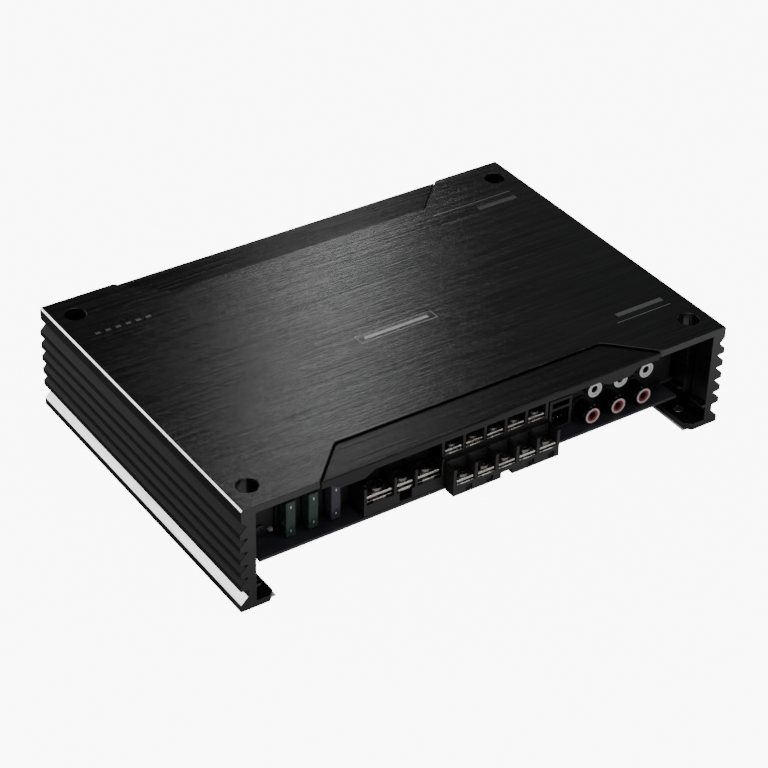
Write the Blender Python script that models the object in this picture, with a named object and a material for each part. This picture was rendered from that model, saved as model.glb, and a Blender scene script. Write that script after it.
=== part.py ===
"""Five-channel car amplifier.

A finned aluminium extrusion is case, heatsink and feet in one. A floor plate and two upright
panels close it, two inset covers lift off above the terminals and the controls, and the board
with its parts sits inside. Metres, +Z up. The origin is the middle of the base. X runs across
the width, -Y is the connection side and +Y the control side.
"""

import math

import bmesh
import bpy
from mathutils import Matrix, Vector

MM = 0.001

# Clearances
TOUCH = 0.3 * MM            # left between two pieces that bear on each other
COVER_GAP = 0.5 * MM        # shadow gap round an inset cover
SLIDE_FIT = 0.4 * MM        # each side of a clamp plate in its cell
OVERRUN = 1.0 * MM          # how far a cutter runs past the face it cuts

# Case extrusion
CASE_WIDTH = 261.4 * MM     # over the fins
CASE_DEPTH = 180.0 * MM
CASE_HEIGHT = 54.0 * MM
TOP_THICKNESS = 3.8 * MM
WALL_THICKNESS = 4.1 * MM
FIN_LENGTH = 3.8 * MM
FIN_TIP = 2.7 * MM          # upright outer face of a fin, under its slope
FIN_LEAN = 0.4 * MM         # fall of a fin's underside from its tip to the wall
FIN_PITCH = 6.95 * MM
LOWEST_FIN = 13.8 * MM      # top of the lowest fin's outer face
CAP_INSET = 0.7 * MM        # the cap's edge stands in from the fins
CAP_EDGE = 6.4 * MM         # depth of the cap's edge, chamfer included
CAP_CHAMFER = 1.0 * MM
CAP_GROOVE = 5.5 * MM       # least opening between the cap's edge and the top fin
TOE_HEIGHT = 3.5 * MM       # where the foot's outer slope starts
FOOT_THICKNESS = 3.2 * MM
FOOT_FLANGE = 9.5 * MM
FOOT_CORNER = 3.0 * MM

# Mounting holes and the driver holes above them
MOUNT_FROM_SIDE = 12.0 * MM
MOUNT_FROM_END = 13.7 * MM
MOUNT_HOLE = 5.0 * MM
DRIVER_HOLE = 10.0 * MM     # drilled from above down past the rail
PAD_MARGIN = 1.8 * MM       # metal left round a driver hole under the top plate
PAD_DEPTH = 4.0 * MM

# Floor plate on its rails
RAIL_HEIGHT = 10.7 * MM
RAIL_THICKNESS = 1.5 * MM
RAIL_WIDTH = 2.0 * MM
FLOOR_THICKNESS = 1.5 * MM
FLOOR_SIDE_GAP = 0.4 * MM
FLOOR_FROM_END = 11.5 * MM
SCREW_BAY_WIDTH = 8.3 * MM
SCREW_BAY_DEPTH = 24.0 * MM
BOSS_RADIUS = 4.0 * MM
BOSS_HEIGHT = 2.3 * MM
BOSS_FROM_BOARD_EDGE = 9.0 * MM

# Upright panels
PANEL_RECESS = 24.5 * MM
PANEL_THICKNESS = 1.5 * MM
PANEL_SIDE_GAP = 2.5 * MM

# Inset covers
COVER_END_INSET = 31.8 * MM
COVER_REACH = 19.5 * MM
COVER_DROP = 1.0 * MM
COVER_THICKNESS = 4.0 * MM
COVER_WALL = 1.8 * MM
COVER_CORNER = 5.0 * MM
GRIP_DEPTH = 3.0 * MM
GRIP_TOP_HALF = 11.5 * MM
GRIP_BOTTOM_HALF = 6.0 * MM
GRIP_THICKNESS = 4.0 * MM
GRIP_CENTRES = (-75.0 * MM, 68.0 * MM)
SHELF_CENTRE = 66.0 * MM
SHELF_HALF_WIDTH = 3.0 * MM
SHELF_REACH = 8.0 * MM
SHELF_THICKNESS = 1.2 * MM

# Main board
BOARD_THICKNESS = 1.6 * MM
BOARD_SIDE_MARGIN = 14.8 * MM
TAIL_INSET = 2.0 * MM

# Power terminals
POWER_CELLS = (14.4 * MM, 9.6 * MM, 12.9 * MM)
POWER_WALL = 1.4 * MM
POWER_REACH = 13.0 * MM     # front of the block ahead of the panel
POWER_HEIGHT = 15.2 * MM
POWER_SEAT = 5.7 * MM       # cell floor above the block's base
POWER_LIP = 6.0 * MM        # front wall above the block's base
POWER_POCKET_FRONT = 1.2 * MM
POWER_POCKET_BACK = 1.7 * MM
POWER_CLAMP_LIFT = 2.8 * MM  # clamp plate's underside above the cell floor
POWER_CLAMP_THICKNESS = 1.3 * MM
POWER_CLAMP_DEPTH = 8.0 * MM
POWER_SHANK = 2.0 * MM
POWER_HEAD = 3.6 * MM
POWER_HEAD_HEIGHT = 2.4 * MM
WIRE_MOUTH_WIDTH = 6.5 * MM
WIRE_MOUTH_HEIGHT = 5.0 * MM

# Speaker terminals, two rows in steps
SPEAKER_LEFT = -17.8 * MM   # middle of the first wall
SPEAKER_PITCH = 11.4 * MM
SPEAKER_CELLS = 5
SPEAKER_WALL = 1.6 * MM
SPEAKER_LOWER_REACH = 19.7 * MM
SPEAKER_UPPER_REACH = 10.0 * MM
SPEAKER_STEP = 10.5 * MM
SPEAKER_ROW_HEIGHT = 12.4 * MM
SPEAKER_SEAT = 3.0 * MM
SPEAKER_LIP = 3.7 * MM
SPEAKER_POCKET_FRONT = 1.0 * MM
SPEAKER_POCKET_DEPTH = 6.2 * MM
SPEAKER_CLAMP_LIFT = 2.1 * MM
SPEAKER_CLAMP_THICKNESS = 1.1 * MM
SPEAKER_CLAMP_DEPTH = 6.0 * MM
SPEAKER_CLAMP_SETBACK = 0.3 * MM
SPEAKER_SHANK = 1.5 * MM
SPEAKER_HEAD = 2.7 * MM
SPEAKER_HEAD_HEIGHT = 2.0 * MM
RECESS_WIDTH = 3.9 * MM
RECESS_HEIGHT = 2.8 * MM
RECESS_DEPTH = 1.2 * MM
KEY_NOTCH_WIDTH = 6.0 * MM
KEY_NOTCH_HEIGHT = 2.8 * MM
KEY_NOTCH_DEPTH = 5.0 * MM
KEY_CELL = 2

# Screws
SCREW_SIDES = 16
SCREW_BEVEL = 0.45 * MM
SHANK_CLEARANCE = 0.3 * MM
CROSS_WIDTH = 0.9 * MM
CROSS_SHARE = 0.68
CROSS_DEPTH = 1.3 * MM
TIP_IN_BORE = 1.0 * MM      # how deep a tightened screw reaches into its bore

# Blade fuses and their holder
FUSE_FROM_WALL = 27.5 * MM
FUSE_PITCH = 11.5 * MM
FUSE_COUNT = 3
FUSE_THICKNESS = 5.1 * MM
FUSE_WIDTH = 19.1 * MM
FUSE_NECK_WIDTH = 16.5 * MM
FUSE_HEAD_DEPTH = 6.0 * MM
FUSE_NECK_DEPTH = 5.6 * MM
FUSE_BASE_GAP = 0.5 * MM
BLADE_WIDTH = 5.0 * MM
BLADE_THICKNESS = 0.65 * MM
BLADE_LENGTH = 7.5 * MM
BLADE_SPACING = 10.0 * MM
HOLDER_PROUD = 1.2 * MM
HOLDER_WALL = 1.2 * MM
HOLDER_BACK = 1.0 * MM

# Control input socket
SOCKET_LEFT = 44.5 * MM
SOCKET_WIDTH = 13.0 * MM
SOCKET_HEIGHT = 17.0 * MM
SOCKET_REACH = 5.5 * MM
SOCKET_WALL = 1.7 * MM
SOCKET_SHELF = 11.0 * MM    # height of the rib between the two cavities
SOCKET_DEPTH = 9.0 * MM

# Phono jacks in pairs
JACK_FROM_WALL = 26.5 * MM
JACK_PITCH = 15.0 * MM
JACK_COUNT = 3
JACK_LOWER = 4.7 * MM       # lower jack above the floor
JACK_SPACING = 14.7 * MM
JACK_RADIUS = 4.15 * MM
JACK_BORE = 3.6 * MM
JACK_CORE = 3.05 * MM
JACK_PIN = 1.6 * MM
JACK_REACH = 10.5 * MM
JACK_PIN_DEPTH = 8.0 * MM
JACK_BODY_WIDTH = 11.2 * MM
JACK_BODY_MARGIN = 5.5 * MM
JACK_HOLE_CLEARANCE = 0.45 * MM

# Indicator
LED_FROM_WALL = 21.4 * MM
LED_ABOVE_FLOOR = 2.6 * MM
LED_RADIUS = 1.3 * MM
LED_PROUD = 1.5 * MM
LED_FLANGE = 0.5 * MM

# Controls on the far side
KNOB_CENTRES = (-84.0 * MM, -60.0 * MM, -36.0 * MM, -12.0 * MM, 12.0 * MM)
KNOB_NAMES = ("gain_front", "gain_rear", "gain_sub", "low_pass", "high_pass")
KNOB_RADIUS = 4.2 * MM
KNOB_HEIGHT = 5.0 * MM
KNOB_SHAFT = 1.5 * MM
KNOB_GROOVE = 0.8 * MM
SWITCH_CENTRES = (36.0 * MM, 56.0 * MM, 76.0 * MM)
SWITCH_TRAVEL = 2.0 * MM    # each way from the middle
SWITCH_CAP_WIDTH = 3.4 * MM
SWITCH_CAP_HEIGHT = 2.6 * MM
SWITCH_PROUD = 2.2 * MM
CONTROL_ABOVE_FLOOR = 17.0 * MM
CONTROL_BODY_WIDTH = 11.0 * MM
CONTROL_BODY_HEIGHT = 9.0 * MM
CONTROL_BODY_DEPTH = 8.0 * MM
CONTROL_BOARD_THICKNESS = 1.6 * MM
CONTROL_BOARD_HEIGHT = 16.0 * MM
CONTROL_BOARD_MARGIN = 8.0 * MM

# Parts on the main board
TRANSFORMER_CENTRE = (-58.0 * MM, -12.0 * MM)
TRANSFORMER_RADIUS = 20.0 * MM
TRANSFORMER_BORE = 8.0 * MM
TRANSFORMER_HEIGHT = 17.0 * MM
INDUCTOR_CENTRES = ((34.0 * MM, -22.0 * MM), (72.0 * MM, -22.0 * MM))
INDUCTOR_RADIUS = 10.5 * MM
INDUCTOR_BORE = 4.5 * MM
INDUCTOR_HEIGHT = 9.0 * MM
CAPACITOR_CENTRES = ((-12.0 * MM, 14.0 * MM), (10.0 * MM, 14.0 * MM))
CAPACITOR_RADIUS = 9.0 * MM
CAPACITOR_HEADROOM = 5.0 * MM
DEVICE_COUNT = 6
DEVICE_PITCH = 16.0 * MM
DEVICE_WIDTH = 10.0 * MM
DEVICE_HEIGHT = 16.0 * MM
DEVICE_THICKNESS = 4.5 * MM
DEVICE_BAR_THICKNESS = 3.0 * MM
DEVICE_BAR_HEIGHT = 8.0 * MM

# Planes that follow from the sizes above
HALF_WIDTH = CASE_WIDTH / 2
HALF_DEPTH = CASE_DEPTH / 2
ROOT_X = HALF_WIDTH - FIN_LENGTH
INNER_X = ROOT_X - WALL_THICKNESS
CEILING = CASE_HEIGHT - TOP_THICKNESS
FLOOR_BASE = RAIL_HEIGHT + RAIL_THICKNESS + TOUCH
FLOOR_TOP = FLOOR_BASE + FLOOR_THICKNESS
BASE = FLOOR_TOP + TOUCH
PANEL_FRONT = -HALF_DEPTH + PANEL_RECESS
PANEL_BACK = PANEL_FRONT + PANEL_THICKNESS
BLOCK_BACK = PANEL_FRONT - TOUCH
HOLDER_DEPTH = FUSE_NECK_DEPTH + BLADE_LENGTH + TOUCH + HOLDER_BACK
TAIL_BACK = PANEL_FRONT - HOLDER_PROUD + HOLDER_DEPTH
BOARD_BASE = FLOOR_TOP + BOSS_HEIGHT + TOUCH
BOARD_TOP = BOARD_BASE + BOARD_THICKNESS
BOARD_HALF_WIDTH = INNER_X - BOARD_SIDE_MARGIN
BOARD_FRONT = TAIL_BACK + TOUCH
PART_BASE = BOARD_TOP + TOUCH
COVER_TOP = CASE_HEIGHT - COVER_DROP
COVER_BASE = COVER_TOP - COVER_THICKNESS
CONTROL_HEIGHT = FLOOR_TOP + CONTROL_ABOVE_FLOOR
CONTROL_FACE = -PANEL_BACK - TOUCH
CONTROL_BOARD_FRONT = CONTROL_FACE - CONTROL_BODY_DEPTH

ALUMINIUM_BLACK = ((0.012, 0.012, 0.013), 0.38, 0.9)
PAINTED_STEEL = ((0.015, 0.015, 0.017), 0.5, 0.3)
BLACK_PLASTIC = ((0.01, 0.01, 0.011), 0.45, 0.0)
BRIGHT_METAL = ((0.78, 0.77, 0.74), 0.22, 1.0)
GREEN_PLASTIC = ((0.05, 0.3, 0.2), 0.2, 0.0)
VIOLET_PLASTIC = ((0.45, 0.42, 0.55), 0.2, 0.0)
BOARD_GREEN = ((0.02, 0.12, 0.05), 0.5, 0.0)
COPPER_WINDING = ((0.45, 0.2, 0.08), 0.35, 0.8)
CAPACITOR_SLEEVE = ((0.03, 0.03, 0.06), 0.35, 0.0)
LED_LENS = ((0.6, 0.65, 0.7), 0.15, 0.0)


# ---------------------------------------------------------------- modelling helpers

def clear_scene():
    for item in list(bpy.data.objects):
        bpy.data.objects.remove(item, do_unlink=True)


def add_object(name, bm, finish=None, origin=(0.0, 0.0, 0.0), smooth=False):
    """Object from a bmesh in world coordinates, with its origin at the point given."""
    bmesh.ops.recalc_face_normals(bm, faces=bm.faces)
    bmesh.ops.translate(bm, verts=bm.verts, vec=-Vector(origin))
    mesh = bpy.data.meshes.new(name)
    bm.to_mesh(mesh)
    bm.free()
    if smooth:
        mesh.shade_smooth()
        mesh.set_sharp_from_angle(angle=math.radians(35.0))
    item = bpy.data.objects.new(name, mesh)
    item.location = origin
    bpy.context.collection.objects.link(item)
    if finish:
        item.data.materials.append(make_material(name, finish))
    return item


def make_material(name, finish):
    colour, roughness, metallic = finish
    material = bpy.data.materials.new(name)
    material.use_nodes = True
    shader = material.node_tree.nodes["Principled BSDF"]
    shader.inputs["Base Color"].default_value = (*colour, 1.0)
    shader.inputs["Roughness"].default_value = roughness
    shader.inputs["Metallic"].default_value = metallic
    return material


def add_boxes(bm, boxes):
    """Closed boxes, each given by its lowest and highest corner."""
    for low, high in boxes:
        low = Vector(low)
        high = Vector(high)
        size = Matrix.Diagonal((*(high - low), 1.0))
        bmesh.ops.create_cube(bm, size=1.0, matrix=Matrix.Translation((low + high) / 2) @ size)
    return bm


def boxes(*pairs):
    return add_boxes(bmesh.new(), pairs)


def prism(outline, axis, start, end):
    """Outline of (u, v) points in the plane across the axis, extruded from start to end."""
    order = {"X": (2, 0, 1), "Y": (0, 2, 1), "Z": (0, 1, 2)}[axis]
    bm = bmesh.new()
    corners = []
    for u, v in outline:
        values = (u, v, start)
        corners.append(bm.verts.new([values[index] for index in order]))
    face = bm.faces.new(corners)
    grown = bmesh.ops.extrude_face_region(bm, geom=[face])
    moved = [piece for piece in grown["geom"] if isinstance(piece, bmesh.types.BMVert)]
    shift = Vector([(0.0, 0.0, end - start)[index] for index in order])
    bmesh.ops.translate(bm, verts=moved, vec=shift)
    return bm


def turned(profile, centre, axis, sides):
    """Profile of (radius, distance along the axis) points, turned once about the axis."""
    direction = Vector(axis)
    across = Vector((1.0, 0.0, 0.0))
    bm = bmesh.new()
    points = [bm.verts.new(Vector(centre) + across * r + direction * d) for r, d in profile]
    edges = [bm.edges.new(pair) for pair in zip(points, points[1:])]
    if profile[0][0] > 0.0:
        edges.append(bm.edges.new((points[-1], points[0])))
    bmesh.ops.spin(bm, geom=points + edges, cent=centre, axis=direction, angle=math.tau,
                   steps=sides, use_merge=True)
    bmesh.ops.remove_doubles(bm, verts=bm.verts, dist=0.001 * MM)
    return bm


def rods(spots, radius, low, high, sides):
    """Upright cylinders at (x, y) spots, all in one mesh."""
    bm = bmesh.new()
    for x, y in spots:
        middle = Matrix.Translation((x, y, (low + high) / 2))
        bmesh.ops.create_cone(bm, cap_ends=True, segments=sides, radius1=radius, radius2=radius,
                              depth=high - low, matrix=middle)
    return bm


def boolean(item, operation, tool):
    """Boolean on an object by a mesh that stays in the scene as a wire guide."""
    guide = add_object(item.name + "_" + operation.lower(), tool)
    guide.hide_render = True
    guide.display_type = "WIRE"
    step = item.modifiers.new(operation, "BOOLEAN")
    step.operation = operation
    step.solver = "EXACT"
    step.object = guide
    return item


def cut(item, tool):
    return boolean(item, "DIFFERENCE", tool)


def join(item, tool):
    return boolean(item, "UNION", tool)


def rounded(outline, radius, steps=4):
    """Outline whose corners are arcs; a corner marked False stays sharp."""
    points = []
    count = len(outline)
    for index, (x, y, soft) in enumerate(outline):
        here = Vector((x, y))
        if not soft:
            points.append((x, y))
            continue
        before = (Vector(outline[index - 1][:2]) - here).normalized()
        after = (Vector(outline[(index + 1) % count][:2]) - here).normalized()
        half = before.angle(after) / 2
        centre = here + (before + after).normalized() * radius / math.sin(half)
        start = (here + before * radius / math.tan(half) - centre).normalized()
        finish = (here + after * radius / math.tan(half) - centre).normalized()
        for step in range(steps + 1):
            spot = centre + start.slerp(finish, step / steps).normalized() * radius
            points.append((spot.x, spot.y))
    return points


def mirrored_y(outline):
    return [(x, -y) for x, y in outline]


# ---------------------------------------------------------------- case, floor and panels

def fin_corners():
    """Heights of the fins' outer corners, from the lowest up."""
    room = CASE_HEIGHT - CAP_EDGE - CAP_GROOVE - LOWEST_FIN
    return [LOWEST_FIN + FIN_PITCH * index for index in range(int(room / FIN_PITCH) + 1)]


def cap_groove(edge_x, edge_z, corner):
    """Points where the cap's sloping underside meets the top fin's slope, or the wall first."""
    meet = (edge_x + HALF_WIDTH - (edge_z - corner)) / 2
    if meet > ROOT_X:
        return [(meet, edge_z - (edge_x - meet))]
    return [(ROOT_X, edge_z - (edge_x - ROOT_X)), (ROOT_X, corner + FIN_LENGTH)]


def wall_outline():
    """Right half of the extrusion, from the top corner down the fins and up the inner side.

    A fin has a slope of 45 degrees above, an upright tip and a nearly level underside.
    """
    cap_x = HALF_WIDTH - CAP_INSET
    cap_z = CASE_HEIGHT - CAP_EDGE
    corners = fin_corners()
    outline = [(cap_x - CAP_CHAMFER, CASE_HEIGHT), (cap_x, CASE_HEIGHT - CAP_CHAMFER)]
    outline.append((cap_x, cap_z))
    outline += cap_groove(cap_x, cap_z, corners[-1])
    for corner in reversed(corners):
        if corner != corners[-1]:
            outline.append((ROOT_X, corner + FIN_LENGTH))
        outline += [(HALF_WIDTH, corner), (HALF_WIDTH, corner - FIN_TIP)]
    outline.append((ROOT_X, corners[0] - FIN_TIP - FIN_LEAN))
    outline += [(ROOT_X, TOE_HEIGHT + FIN_LENGTH), (HALF_WIDTH, TOE_HEIGHT), (HALF_WIDTH, 0.0)]
    flange_edge = INNER_X - FOOT_FLANGE
    rail_top = RAIL_HEIGHT + RAIL_THICKNESS
    outline += [(flange_edge, 0.0), (flange_edge, FOOT_THICKNESS), (INNER_X, FOOT_THICKNESS)]
    outline += [(INNER_X, RAIL_HEIGHT), (INNER_X - RAIL_WIDTH, RAIL_HEIGHT)]
    outline += [(INNER_X - RAIL_WIDTH, rail_top), (INNER_X, rail_top), (INNER_X, CEILING)]
    return outline


def cover_outline(grow, overrun):
    """Trapezoid of a cover, grown on its three inner sides and run on past the case end."""
    inner_y = -HALF_DEPTH + COVER_REACH + grow
    outer_y = -HALF_DEPTH - overrun
    half_outer = INNER_X - COVER_END_INSET + grow * math.sqrt(2.0)
    half_inner = half_outer - COVER_REACH - grow
    half_outer += overrun
    corners = [(-half_outer, outer_y, False), (half_outer, outer_y, False),
               (half_inner, inner_y, True), (-half_inner, inner_y, True)]
    return rounded(corners, COVER_CORNER)


def mount_spots():
    x = HALF_WIDTH - MOUNT_FROM_SIDE
    y = HALF_DEPTH - MOUNT_FROM_END
    return [(side * x, end * y) for side in (-1, 1) for end in (-1, 1)]


def driver_pads():
    """Blocks under the top plate, against the side walls, that deepen the driver holes."""
    reach = DRIVER_HOLE / 2 + PAD_MARGIN
    pads = []
    for x, y in mount_spots():
        ends = sorted((x - math.copysign(reach, x), math.copysign(ROOT_X - WALL_THICKNESS / 2, x)))
        pads.append(((ends[0], y - reach, CEILING - PAD_DEPTH),
                     (ends[1], y + reach, CEILING + TOP_THICKNESS / 2)))
    return pads


def make_case():
    right = wall_outline()
    left = [(-x, z) for x, z in reversed(right)]
    case = add_object("heatsink_case", prism(right + left, "Y", -HALF_DEPTH, HALF_DEPTH),
                      ALUMINIUM_BLACK)
    join(case, boxes(*driver_pads()))
    top = CASE_HEIGHT + OVERRUN
    notch = cover_outline(COVER_GAP, OVERRUN)
    cut(case, prism(notch, "Z", CEILING - OVERRUN, top))
    cut(case, prism(mirrored_y(notch), "Z", CEILING - OVERRUN, top))
    cut(case, rods(mount_spots(), DRIVER_HOLE / 2, RAIL_HEIGHT - OVERRUN, top, 32))
    cut(case, rods(mount_spots(), MOUNT_HOLE / 2, -OVERRUN, FOOT_THICKNESS + OVERRUN, 20))
    for side in (-1, 1):
        for end in (-1, 1):
            cut(case, foot_corner(side, end))
    return case


def foot_corner(side, end):
    """Wedge that takes the sharp inner corner off one end of a foot flange."""
    x = INNER_X - FOOT_FLANGE
    y = HALF_DEPTH
    corner = [(x - OVERRUN, y + OVERRUN), (x + FOOT_CORNER + OVERRUN, y + OVERRUN),
              (x - OVERRUN, y - FOOT_CORNER - OVERRUN)]
    outline = [(side * u, end * v) for u, v in corner]
    return prism(outline, "Z", -OVERRUN, FOOT_THICKNESS + OVERRUN)


def make_cover(name, end, grips):
    """Hollow plate that fills one notch; end is -1 at the connection side, 1 at the other."""
    def facing(outline):
        return outline if end < 0 else mirrored_y(outline)

    cover = add_object(name, prism(facing(cover_outline(0.0, 0.0)), "Z", COVER_BASE, COVER_TOP),
                       ALUMINIUM_BLACK)
    pocket = cover_outline(-COVER_WALL, -COVER_WALL)
    cut(cover, prism(facing(pocket), "Z", COVER_BASE - OVERRUN, COVER_TOP - COVER_WALL))
    near = end * HALF_DEPTH
    far = end * (HALF_DEPTH - GRIP_THICKNESS)
    low = COVER_BASE - GRIP_DEPTH
    for centre in grips:
        grip = [(centre - GRIP_TOP_HALF, COVER_BASE + COVER_WALL / 2),
                (centre - GRIP_TOP_HALF, COVER_BASE),
                (centre - GRIP_BOTTOM_HALF, low), (centre + GRIP_BOTTOM_HALF, low),
                (centre + GRIP_TOP_HALF, COVER_BASE),
                (centre + GRIP_TOP_HALF, COVER_BASE + COVER_WALL / 2)]
        join(cover, prism(grip, "Y", near, far))
    return cover


def board_boss_spots():
    x = BOARD_HALF_WIDTH - BOSS_FROM_BOARD_EDGE
    y = -BOARD_FRONT - BOSS_FROM_BOARD_EDGE
    return [(side * x, end * y) for side in (-1, 1) for end in (-1, 1)]


def make_floor():
    wide = INNER_X - FLOOR_SIDE_GAP
    narrow = INNER_X - SCREW_BAY_WIDTH
    short = HALF_DEPTH - SCREW_BAY_DEPTH
    long = HALF_DEPTH - FLOOR_FROM_END
    quarter = [(wide, short), (narrow, short), (narrow, long)]
    outline = quarter + [(-x, y) for x, y in reversed(quarter)]
    outline += [(-x, -y) for x, y in quarter] + [(x, -y) for x, y in reversed(quarter)]
    floor = add_object("bottom_plate", prism(outline, "Z", FLOOR_BASE, FLOOR_TOP), PAINTED_STEEL)
    join(floor, rods(board_boss_spots(), BOSS_RADIUS, FLOOR_BASE + FLOOR_THICKNESS / 2,
                     FLOOR_TOP + BOSS_HEIGHT, 20))
    return floor


def make_panel(name, end, windows, holes):
    """Upright sheet with square windows (x0, x1, z0, z1) and round holes (x, z, radius)."""
    half = INNER_X - PANEL_SIDE_GAP
    outer = end * -PANEL_FRONT
    inner = end * -PANEL_BACK
    low_y = min(outer, inner)
    high_y = max(outer, inner)
    panel = add_object(name, boxes(((-half, low_y, BASE), (half, high_y, CEILING - TOUCH))),
                       PAINTED_STEEL)
    shelf_top = COVER_BASE - TOUCH
    reach = (outer + end * SHELF_REACH, (outer + inner) / 2)
    shelves = [((side * SHELF_CENTRE - SHELF_HALF_WIDTH, min(reach), shelf_top - SHELF_THICKNESS),
                (side * SHELF_CENTRE + SHELF_HALF_WIDTH, max(reach), shelf_top))
               for side in (-1, 1)]
    join(panel, boxes(*shelves))
    if windows:
        cut(panel, boxes(*[((x0, low_y - OVERRUN, z0), (x1, high_y + OVERRUN, z1))
                           for x0, x1, z0, z1 in windows]))
    for x, z, radius in holes:
        cut(panel, turned(rod_profile(radius, PANEL_THICKNESS + 2 * OVERRUN),
                          (x, low_y - OVERRUN, z), (0.0, 1.0, 0.0), 24))
    return panel


def rod_profile(radius, length):
    return [(0.0, 0.0), (radius, 0.0), (radius, length), (0.0, length)]


def window(low, high):
    """Panel window that clears a body between two corners."""
    return (low[0] - TOUCH, high[0] + TOUCH, low[2] - TOUCH, high[2] + TOUCH)


# ---------------------------------------------------------------- terminals

def power_cells():
    """Left and right inner faces of the three power cells, which end beside the speaker block."""
    cells = []
    right = speaker_span()[0] - TOUCH - POWER_WALL
    for width in reversed(POWER_CELLS):
        cells.insert(0, (right - width, right))
        right -= width + POWER_WALL
    return cells


def power_span():
    cells = power_cells()
    return cells[0][0] - POWER_WALL, cells[-1][1] + POWER_WALL


def power_tail():
    left, right = power_span()
    return ((left + TAIL_INSET, BLOCK_BACK - OVERRUN, BOARD_TOP + TAIL_INSET),
            (right - TAIL_INSET, TAIL_BACK, BASE + POWER_HEIGHT - TAIL_INSET))


def make_power_block():
    cells = power_cells()
    front = PANEL_FRONT - POWER_REACH
    left, right = power_span()
    top = BASE + POWER_HEIGHT
    block = add_object("power_terminal_block",
                       boxes(((left, front, BASE), (right, BLOCK_BACK, top))),
                       BLACK_PLASTIC)
    join(block, boxes(power_tail()))
    seat = BASE + POWER_SEAT
    back = BLOCK_BACK - POWER_POCKET_BACK
    cut(block, boxes(*[((x0, front + POWER_POCKET_FRONT, seat), (x1, back, top + OVERRUN))
                       for x0, x1 in cells]))
    lip = BASE + POWER_LIP
    cut(block, boxes(*[((x0, front - OVERRUN, lip),
                        (x1, front + POWER_POCKET_FRONT + OVERRUN, top + OVERRUN))
                       for x0, x1 in cells]))
    spots = [((x0 + x1) / 2, power_screw_y()) for x0, x1 in cells]
    cut(block, rods(spots, POWER_SHANK + SHANK_CLEARANCE, seat - TIP_IN_BORE - 2 * TOUCH,
                    seat + OVERRUN, SCREW_SIDES))
    middle = sum(cells[1]) / 2
    cut(block, boxes(((middle - WIRE_MOUTH_WIDTH / 2, front - OVERRUN, lip - WIRE_MOUTH_HEIGHT),
                      (middle + WIRE_MOUTH_WIDTH / 2, power_screw_y() + POWER_HEAD,
                       lip + OVERRUN))))
    return block


def power_screw_y():
    front = PANEL_FRONT - POWER_REACH + POWER_POCKET_FRONT
    return front + POWER_CLAMP_DEPTH / 2


def speaker_spots():
    """Row, cell, x, screw y, front and base height of each speaker terminal."""
    spots = []
    for row, reach in enumerate((SPEAKER_LOWER_REACH, SPEAKER_UPPER_REACH)):
        front = PANEL_FRONT - reach
        y = front + SPEAKER_CLAMP_SETBACK + SPEAKER_CLAMP_DEPTH / 2
        for cell in range(SPEAKER_CELLS):
            x = SPEAKER_LEFT + SPEAKER_PITCH * (cell + 0.5)
            spots.append((row, cell, x, y, front, BASE + row * SPEAKER_STEP))
    return spots


def speaker_span():
    half_wall = SPEAKER_WALL / 2
    return SPEAKER_LEFT - half_wall, SPEAKER_LEFT + SPEAKER_PITCH * SPEAKER_CELLS + half_wall


def speaker_tail():
    left, right = speaker_span()
    return ((left + TAIL_INSET, BLOCK_BACK - OVERRUN, BOARD_TOP + TAIL_INSET),
            (right - TAIL_INSET, TAIL_BACK, BASE + SPEAKER_ROW_HEIGHT))


def make_speaker_block():
    left, right = speaker_span()
    lower = PANEL_FRONT - SPEAKER_LOWER_REACH
    upper = PANEL_FRONT - SPEAKER_UPPER_REACH
    step = BASE + SPEAKER_ROW_HEIGHT
    top = step + SPEAKER_STEP
    toe = -HALF_DEPTH + FLOOR_FROM_END - TOUCH
    side = [(lower, FLOOR_BASE), (lower, step), (upper, step), (upper, top),
            (BLOCK_BACK, top), (BLOCK_BACK, BASE), (toe, BASE), (toe, FLOOR_BASE)]
    block = add_object("speaker_terminal_block", prism(side, "X", left, right), BLACK_PLASTIC)
    join(block, boxes(speaker_tail()))
    half = (SPEAKER_PITCH - SPEAKER_WALL) / 2
    pockets = []
    mouths = []
    recesses = []
    for row, _cell, x, _y, front, base in speaker_spots():
        inner = front + SPEAKER_POCKET_FRONT
        crest = base + SPEAKER_ROW_HEIGHT + OVERRUN
        pockets.append(((x - half, inner, base + SPEAKER_SEAT),
                        (x + half, inner + SPEAKER_POCKET_DEPTH, crest)))
        mouths.append(((x - half, front - OVERRUN, base + SPEAKER_LIP),
                       (x + half, inner + OVERRUN, crest)))
        if row == 0:
            low = FLOOR_BASE + OVERRUN
            recesses.append(((x + TOUCH, front - OVERRUN, low),
                             (x + RECESS_WIDTH, front + RECESS_DEPTH, low + RECESS_HEIGHT)))
    cut(block, boxes(*pockets))
    cut(block, boxes(*mouths))
    for row in (0, 1):
        spots = [(x, y) for which, _, x, y, _, _ in speaker_spots() if which == row]
        seat = BASE + row * SPEAKER_STEP + SPEAKER_SEAT
        cut(block, rods(spots, SPEAKER_SHANK + SHANK_CLEARANCE, seat - TIP_IN_BORE - 2 * TOUCH,
                        seat + OVERRUN, SCREW_SIDES))
    del recesses[KEY_CELL]
    cut(block, boxes(*recesses))
    key_x = SPEAKER_LEFT + SPEAKER_PITCH * (KEY_CELL + 0.5)
    cut(block, boxes(((key_x - KEY_NOTCH_WIDTH / 2, lower - OVERRUN, FLOOR_BASE - OVERRUN),
                      (key_x + KEY_NOTCH_WIDTH / 2, lower + KEY_NOTCH_DEPTH,
                       FLOOR_BASE + KEY_NOTCH_HEIGHT))))
    return block


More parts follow.
